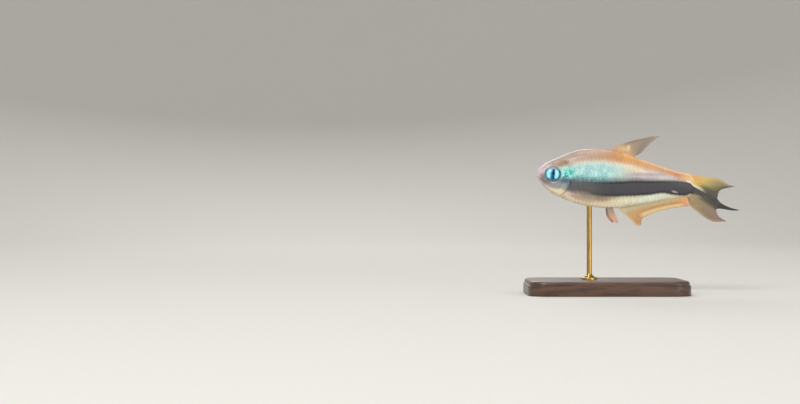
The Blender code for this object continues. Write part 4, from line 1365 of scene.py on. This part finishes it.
STRIPE_COLOURS = [
    (0.0, "#9a9492"), (0.12, "#a8a2a1"), (0.34, "#cbc3c5"), (0.54, "#aea3a2"), (0.66, "#bbaea6"),
    (0.84, "#dccbb9"), (1.0, "#e4caa6"),
]
SOFT_GLINTS = [(0.0, "#86bcc2"), (0.3, "#9dcdce"), (0.55, "#b0dadb"), (0.8, "#c8e9e8"), (1.0, "#ecfffc")]
BRIGHT_GLINTS = [(0.0, "#12566a"), (0.24, "#3a9fa8"), (0.42, "#72dcd4"), (0.66, "#9af2e6"), (1.0, "#e6fff8")]
# Washes over the ground colours. Those on the back's crest, the band's tail end and the underside's edge are
# painted highlights, and the one under the band is painted shade.
PIGMENT_AND_PAINTED_LIGHT_WASHES = (
    ("rear", None), ("cream", "#e8dac8"), ("ridge", "#f4cba4"), ("hem", "#d8c096"), ("painted_shade_under_band", "#8f7e68"),
    ("painted_underside_highlight", "#fff2d6"), ("cheek", "#8b8f8d"), ("muzzle", "#665a58"), ("rose", "#8f6a66"), ("olive", None),
    ("umber", "#8a684e"), ("amber", "#dea656"), ("glow", "#f6f0d2"),
)
# Colours of the crystals, and last a painted glint on scale rims.
CRYSTAL_AND_RIM_GLINT_WASHES = (
    ("lime", "#c2f0c4"), ("grass", "#6fd8a8"), ("moss", "#4aa886"), ("lobe", "#8ef2fa"), ("gap", "#1c7478"),
    ("glint", "#b4f8ff"), ("painted_rim_glint", "#eafffa"),
)


def skin_material():
    material, tree, shader = new_material("wet_fish_skin")
    place = add(tree, "Attribute", out="Vector", attribute_name="fish_mm")
    marks = {
        name: add(tree, "Attribute", out="Fac", attribute_name=name)
        for name in (*markings(np.zeros(1), np.zeros(1)), "tone", "rim", "painted_rim_glint")
    }
    fine = add(tree, "TexNoise", {"Vector": place, "Scale": 5.0, "Detail": 4.0})

    # The three ground colours, then the washes of pigment and of painted highlight and shade.
    grounds = (BACK_COLOURS, FLANK_COLOURS, BELLY_COLOURS)
    back, flank, belly = [add(tree, "ValToRGB", (marks["along"],), stops=stops) for stops in grounds]
    drawn_out = add(tree, "Mapping", {"Vector": place, "Scale": (0.3, 1.0, 2.4)})
    streak = add(tree, "TexNoise", {"Vector": drawn_out, "Scale": 1.0, "Detail": 3.0})
    stripes = add(tree, "ValToRGB", (marks["stripe"],), stops=STRIPE_COLOURS)
    stripes = washed(tree, stripes, (1.0, add(tree, "MapRange", (streak, 0.3, 0.7, 0.82, 1.16)), "MULTIPLY"))
    ochre = add(tree, "ValToRGB", (marks["olive"],), stops=[(0.2, "#a8866c"), (0.7, "#837a52")])
    own = {"rear": stripes, "olive": ochre}
    colour = washed(
        tree, belly, (marks["lower"], flank), (marks["back"], back),
        *[(marks[name], wash or own[name]) for name, wash in PIGMENT_AND_PAINTED_LIGHT_WASHES],
    )

    # Crystals: grains of a sixth of a millimetre lie in larger, softer flashes, and some scale rims get a
    # painted glint.
    grains = add(tree, "TexVoronoi", {"Vector": place, "Scale": 1.0 / GLINT_MM}, out="Color")
    grain_tone = add(tree, "SeparateColor", (grains,))
    flashes = add(tree, "TexNoise", {"Vector": place, "Scale": 1.0 / SPARK_MM, "Detail": 3.0})
    level = add(tree, "MapRange", (flashes, 0.3, 0.7, 0.08, 0.62))
    level = add(tree, "Math", (grain_tone, 0.3, level), operation="MULTIPLY_ADD")
    level = add(tree, "Math", (marks["tone"], 0.08, level), operation="MULTIPLY_ADD")
    soft, bright = [add(tree, "ValToRGB", (level,), stops=stops) for stops in (SOFT_GLINTS, BRIGHT_GLINTS)]
    crystals = washed(
        tree, soft, (marks["jewel"], bright), *[(marks[name], wash) for name, wash in CRYSTAL_AND_RIM_GLINT_WASHES],
    )

    # Pigment cells gather along the rear rim of each scale, as freckles on the back and in the black band.
    dots = add(tree, "TexVoronoi", {"Vector": place, "Scale": 1.0 / FRECKLE_MM}, out="Distance")
    freckles = add(tree, "MapRange", (dots, 0.24, 0.1, 0.0, marks["freckle"]))
    blots = add(tree, "MapRange", (flashes, 0.56, 0.42, 0.0, marks["navy"]))
    black = add(tree, "ValToRGB", (fine,), stops=[(0.3, "#37363b"), (0.7, "#47464c")])
    mottle = add(tree, "MapRange", (fine, 0.2, 0.8, 0.92, 1.06))
    scale_tone = add(tree, "MapRange", (marks["tone"], -1.0, 1.0, 0.95, 1.04))
    colour = washed(
        tree, colour, (marks["shine"], crystals), (marks["mist"], "#8298a4"), (marks["rim"], "#6d5646"),
        (freckles, "#5c4438"), (marks["slate"], "#40627c"), (marks["orbit"], "#2a7480"), (blots, "#1b3d5c"),
        (marks["dusk"], "#9a8f9f"), (marks["band"], black), (marks["border"], "#1a1a1c"),
        (1.0, mottle, "MULTIPLY"), (1.0, scale_tone, "MULTIPLY"),
    )
    # The film of slime is thinnest over the bare olive patch behind the head, which is duller for it.
    grain = add(tree, "TexNoise", {"Vector": place, "Scale": 9.0, "Detail": 3.0})
    wet = add(tree, "MapRange", (fine, 0.2, 0.8, 0.3, 0.44))
    feed(tree, shader, {
        "Base Color": colour,
        "Metallic": add(tree, "Math", (marks["shine"], 0.38), operation="MULTIPLY"),
        "Roughness": add(tree, "Math", (marks["olive"], 0.3, wet), operation="MULTIPLY_ADD"),
        "Normal": add(tree, "Bump", {"Height": grain, "Strength": 0.25, "Distance": 0.02 * MM}),
        "IOR": 1.4,
        "Coat Weight": add(tree, "MapRange", (marks["olive"], 0.0, 0.6, 0.35, 0.0)),
        "Coat Roughness": 0.12,
    })
    return material


wet_skin = skin_material()
for piece in (skin, *scales):
    piece.data.materials.append(wet_skin)
print("skin material has", len(wet_skin.node_tree.nodes), "nodes")

# %% [markdown]
# ## Fin film
# The film between the rays is clear, with a breath of pigment, and the rays are a little cloudier. So the
# colour runs along the fin in a ramp, the fin's own markings are washed over it, and the film lets more
# light through than the rays do. A few washes are painted light: highlights on the back fin and the tail,
# and painted dark beside the tail's fork. The five kinds of fin differ in nothing else, so one function
# makes them all.

# %% Fin materials
def fin_material(name, root_to_edge, film_alpha, ray_alpha, *washes):
    """A fin's film and rays. A wash has a share's name and its colour, or its colours from root to edge."""
    material, tree, shader = new_material(name)
    place = add(tree, "Attribute", out="Vector", attribute_name="fish_mm")
    keys = ("s", "crest", *[wash[0] for wash in washes])
    shares = {key: add(tree, "Attribute", out="Fac", attribute_name=key) for key in keys}
    colours = [
        add(tree, "ValToRGB", (shares["s"],), stops=stops) if isinstance(stops, list) else stops
        for stops in (root_to_edge, *[wash[1] for wash in washes])
    ]
    cloud = add(tree, "TexNoise", {"Vector": place, "Scale": 2.2, "Detail": 4.0})
    colour = washed(
        tree, colours[0], *[(shares[wash[0]], over) for wash, over in zip(washes, colours[1:])],
        (1.0, add(tree, "MapRange", (cloud, 0.0, 1.0, 0.86, 1.1)), "MULTIPLY"),
        (1.0, add(tree, "MapRange", (shares["crest"], 0.0, 1.0, 1.0, 0.83)), "MULTIPLY"),
    )
    clear = add(tree, "MapRange", (shares["crest"], 0.0, 1.0, film_alpha, ray_alpha))
    thin = add(tree, "MapRange", (shares["s"], 0.3, 1.0, 1.0, 0.8))
    feed(tree, shader, {
        "Base Color": colour,
        "Alpha": add(tree, "Math", (clear, thin), operation="MULTIPLY"),
        "Roughness": 0.38,
        "IOR": 1.4,
        "Coat Weight": 0.3,
        "Coat Roughness": 0.15,
    })
    return material


dorsal.data.materials.append(fin_material(
    "dorsal_fin_film",
    [(0.0, "#e0ae74"), (0.22, "#dab488"), (0.45, "#b8a286"), (0.8, "#9e8f80"), (1.0, "#ac9f8c")], 0.86, 0.97,
    # The bright streak is a painted highlight.
    ("patch", "#e8cda2"), ("streak", "#f2dcb4"), ("lead", "#9f8876"), ("line", "#b8aca4"),
))
anal.data.materials.append(fin_material(
    "anal_fin_film",
    [(0.0, "#ddd8b4"), (0.27, "#cec298"), (0.42, "#ceac7a"), (0.7, "#d6ac74"), (1.0, "#d6a668")], 0.92, 0.98,
    ("end", "#e6a870"), ("brown", "#b0804e"), ("lobe", "#d6955c"), ("lead", "#ddd0a2"), ("strip", "#f4d69c"),
    ("line", "#8a6040"), ("tip", "#ecbd9c"),
))
for fin in pelvics:
    stops = [(0.0, "#9c937e"), (0.35, "#b8a28c"), (0.65, "#e4b498"), (1.0, "#e6bea4")]
    fin.data.materials.append(fin_material("pelvic_fin_film", stops, 0.88, 0.97))
for fin in pectorals:
    stops = [(0.0, "#b9ab97"), (1.0, "#c9c2b6")]
    fin.data.materials.append(fin_material("clear_pectoral_film", stops, 0.06, 0.26))
tail.data.materials.append(fin_material(
    "tail_fin_film",
    [(0.0, "#c9a17a"), (0.25, "#a8946f"), (0.6, "#958062"), (0.85, "#9c7c6a"), (1.0, "#8f7a6b")], 0.9, 0.98,
    ("upper", [(0.0, "#e6b676"), (0.2, "#e8b86e"), (0.45, "#dcc068"), (0.7, "#aa9c60"), (1.0, "#4e4438")]),
    # The outer edges get a painted highlight.
    ("outer", [(0.0, "#f2d09c"), (0.5, "#e2c190"), (1.0, "#a08c78")]),
    # Beside the fork the film is painted dark, as if a dark background showed through it.
    ("beside", "#47442c"),
    ("glow", [(0.0, "#f4e2b0"), (0.5, "#eef0da")]),
    ("dark", [(0.0, "#53504d"), (0.35, "#504d49"), (0.75, "#1c1a16")]),
))

# %% [markdown]
# ## Blue eye
# The iris is a mirror of crystals behind a clear, wet cornea. It shines pale cyan in front of and behind
# the pupil, is bluish grey along its upper and lower rims, and a dark blue bar runs up and down through
# the pupil. The cornea's gloss is a clear coat with hardly any roughness.

# %% The eye's material
def eye_material():
    material, tree, shader = new_material("blue_fish_eye")
    place = add(tree, "Attribute", out="Vector", attribute_name="eye_mm")
    across, up = [add(tree, "SeparateXYZ", (place,), out=axis) for axis in ("X", "Z")]
    flat = add(tree, "CombineXYZ", (across, up))
    radius = add(tree, "VectorMath", (flat,), out="Value", operation="LENGTH")
    upright = add(tree, "Mapping", {"Vector": flat, "Scale": (1.0, 0.6, 1.0)})
    from_pupil = add(tree, "VectorMath", (upright, (0.2, 0.2, 0.0)), out="Value", operation="DISTANCE")
    fine = add(tree, "TexNoise", {"Vector": place, "Scale": 3.5, "Detail": 5.0})
    grains = add(tree, "TexVoronoi", {"Vector": place, "Scale": 11.0}, out="Color")
    grain = add(tree, "SeparateColor", (grains,))
    outwards = add(tree, "Math", (radius, EYE_RADIUS), operation="DIVIDE")
    iris = add(tree, "ValToRGB", (outwards,), stops=[
        (0.0, "#5fcbe2"), (0.4, "#98e8f6"), (0.66, "#b4f2fc"), (0.84, "#70daf2"), (0.92, "#2f87a8"),
        (1.0, "#1d4f68"),
    ])
    to_side = add(tree, "Math", (across, 0.05), operation="SUBTRACT")
    to_side = add(tree, "Math", (to_side,), operation="ABSOLUTE")
    to_side = add(tree, "Math", (fine, 0.25, to_side), operation="MULTIPLY_ADD")
    bar_blue = add(tree, "ValToRGB", (add(tree, "MapRange", (across, -0.45, 0.4)),), stops=[
        (0.0, "#0a86b4"), (0.6, "#00507c"), (1.0, "#003a60"),
    ])
    bar_reach = add(tree, "MapRange", (up, 1.6, 1.3))
    colour = washed(
        tree, iris,
        (1.0, add(tree, "MapRange", (grain, 0.0, 1.0, 0.86, 1.08)), "MULTIPLY"),
        (1.0, add(tree, "MapRange", (fine, 0.2, 0.8, 0.76, 1.14)), "MULTIPLY"),
        (add(tree, "MapRange", (up, -0.9, -1.35, 0.0, 0.9)), "#35687a"),
        (add(tree, "MapRange", (up, 0.95, 1.6, 0.0, 0.9)), "#8c94a4"),
        (add(tree, "MapRange", (to_side, 0.82, 0.56, 0.0, bar_reach)), bar_blue),
        (add(tree, "MapRange", (from_pupil, 0.38, 0.32)), "#062840"),
        (add(tree, "MapRange", (up, -1.35, -1.75, 0.0, 0.9)), "#7f8894"),
    )
    feed(tree, shader, {
        "Base Color": colour, "Roughness": 0.3, "IOR": 1.38, "Specular IOR Level": 0.2,
        "Coat Weight": 0.7, "Coat IOR": 1.376, "Coat Roughness": 0.03,
    })
    return material


blue_eye = eye_material()
for eye in eyes:
    eye.data.materials.append(blue_eye)

# %% [markdown]
# ## Wood and brass
# The base is a dark, close-grained hardwood such as walnut, oiled and rubbed with satin varnish, so its
# grain shows as long, slightly wavy streaks under an even gloss. The rod is brass, polished along its
# length and lacquered: a metal with a warm colour and a soft, fine-lined shine.

# %% The stand's materials
GRAIN_MM = 0.9


def wood_material():
    material, tree, shader = new_material("satin_walnut")
    spot = add(tree, "TexCoord", out="Object")
    scaled = add(tree, "Mapping", {"Vector": spot, "Scale": (0.11 / MM, 1.0 / GRAIN_MM / MM, 0.9 / MM)})
    wander = add(tree, "TexNoise", {"Vector": scaled, "Scale": 0.6, "Detail": 5.0}, out="Color")
    bent = washed(tree, scaled, (0.35, wander, "ADD"))
    grain = add(tree, "TexNoise", {"Vector": bent, "Scale": 1.0, "Detail": 6.0, "Roughness": 0.62})
    feed(tree, shader, {
        "Base Color": add(tree, "ValToRGB", (grain,), stops=[
            (0.3, "#2c1c14"), (0.48, "#4a3022"), (0.6, "#5d3f2c"), (0.75, "#38241a"),
        ]),
        "Normal": add(tree, "Bump", {"Height": grain, "Strength": 0.2, "Distance": 0.05 * MM}),
        "Roughness": add(tree, "MapRange", (grain, 0.0, 1.0, 0.5, 0.36)),
        "Coat Weight": 0.4,
        "Coat Roughness": 0.25,
    })
    return material


def brass_material():
    material, tree, shader = new_material("lacquered_brass")
    spot = add(tree, "TexCoord", out="Object")
    lines = add(tree, "Mapping", {"Vector": spot, "Scale": (9.0 / MM, 9.0 / MM, 0.35 / MM)})
    streak = add(tree, "TexNoise", {"Vector": lines, "Scale": 1.0, "Detail": 3.0})
    feed(tree, shader, {
        "Base Color": add(tree, "ValToRGB", (streak,), stops=[(0.3, "#a8864a"), (0.7, "#c9a563")]),
        "Roughness": add(tree, "MapRange", (streak, 0.0, 1.0, 0.22, 0.36)),
        "Metallic": 1.0,
    })
    return material


base.data.materials.append(wood_material())
rod.data.materials.append(brass_material())

# %% [markdown]
# ## The studio
# The model stands on a plain pale floor that curves up into a wall all round, so no horizon cuts through
# the fish. Large, soft lamps stand in for the photo's light, which came from above and in front. They are
# kept well away from the model and are hidden from the camera.

# %% Floor, lamps and world
FLOOR_FLAT, FLOOR_CURVE, WALL_HEIGHT = 0.5, 0.45, 1.1
FLOOR_SPOKES = 96


def studio_floor():
    """A turned bowl: flat in the middle, then a wide curve up to an upright wall."""
    profile = [(0.001, 0.0), (0.1, 0.0), (0.3, 0.0), (FLOOR_FLAT, 0.0)]
    for turn in np.linspace(0.0, math.pi / 2, 25)[1:]:
        profile.append((FLOOR_FLAT + FLOOR_CURVE * math.sin(turn), FLOOR_CURVE * (1 - math.cos(turn))))
    profile.append((FLOOR_FLAT + FLOOR_CURVE, WALL_HEIGHT))
    loops = turned(profile, FLOOR_SPOKES)
    middle = tuple(range(FLOOR_SPOKES))
    return world_piece("studio_floor", loops, [*stacked(loops)[1:-1], middle])


def paper_material():
    material, tree, shader = new_material("matt_backdrop_paper")
    spot = add(tree, "TexCoord", out="Object")
    fibres = add(tree, "TexNoise", {"Vector": spot, "Scale": 900.0, "Detail": 3.0})
    paper = add(tree, "ValToRGB", (fibres,), stops=[(0.3, "#d0cdc8"), (0.7, "#d3d0cb")])
    feed(tree, shader, {"Base Color": paper, "Roughness": 0.9})
    return material


def lamp(name, place, size, watts, aim=(0.0, 0.0, 0.03)):
    """A square soft lamp that looks at the fish and doesn't show itself."""
    data = bpy.data.lights.new(name, "AREA")
    data.size = size
    data.energy = watts
    source = bpy.data.objects.new(name, data)
    source.location = place
    away = Matrix.Translation(aim).translation - Matrix.Translation(place).translation
    source.rotation_euler = away.to_track_quat("-Z", "Y").to_euler()
    source.visible_camera = False
    bpy.context.scene.collection.objects.link(source)
    return source


floor = studio_floor()
floor.data.materials.append(paper_material())
lamp("key_lamp", (-0.28, -0.5, 0.5), 0.3, 3.2)
lamp("fill_lamp", (0.4, -0.52, 0.12), 0.4, 1.5)
lamp("top_lamp", (0.05, -0.05, 0.62), 0.35, 1.0)
lamp("back_lamp", (-0.1, 0.55, 0.4), 0.35, 1.3)

world = bpy.data.worlds.new("soft_studio")
world.use_nodes = True
sky = world.node_tree.nodes["Background"]
sky.inputs["Color"].default_value = linear("#f2f3f5")
sky.inputs["Strength"].default_value = 0.45
bpy.context.scene.world = world
bpy.context.scene.view_settings.view_transform = "Standard"

# %% [markdown]
# ## Hand the pieces over
# Nothing on this model moves, so every piece rides on the one body. Each one says which solids it stands
# for and which finish it takes.

# %% Which piece stands for which solid
for piece, slot, nodes in (
    (skin, "fish_skin", ("head", "torso", "tail_stalk", "gill_cover_left", "gill_cover_right")),
    (scales[0], "fish_skin", ()),
    (scales[1], "fish_skin", ()),
    (eyes[0], "eye", ("eye_right",)),
    (eyes[1], "eye", ("eye_left",)),
    (dorsal, "fin", ("dorsal_fin",)),
    (anal, "fin", ("anal_fin",)),
    (tail, "fin", ("tail_fin_upper", "tail_fin_middle", "tail_fin_lower")),
    (pelvics[0], "fin", ("pelvic_fin_right",)),
    (pelvics[1], "fin", ("pelvic_fin_left",)),
    (pectorals[0], "clear_fin", ("pectoral_fin_right",)),
    (pectorals[1], "clear_fin", ("pectoral_fin_left",)),
    (base, "stand_wood", ("stand_base",)),
    (rod, "stand_brass", ("stand_rod",)),
):
    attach(piece, "root")
    if nodes:
        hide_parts(*nodes)
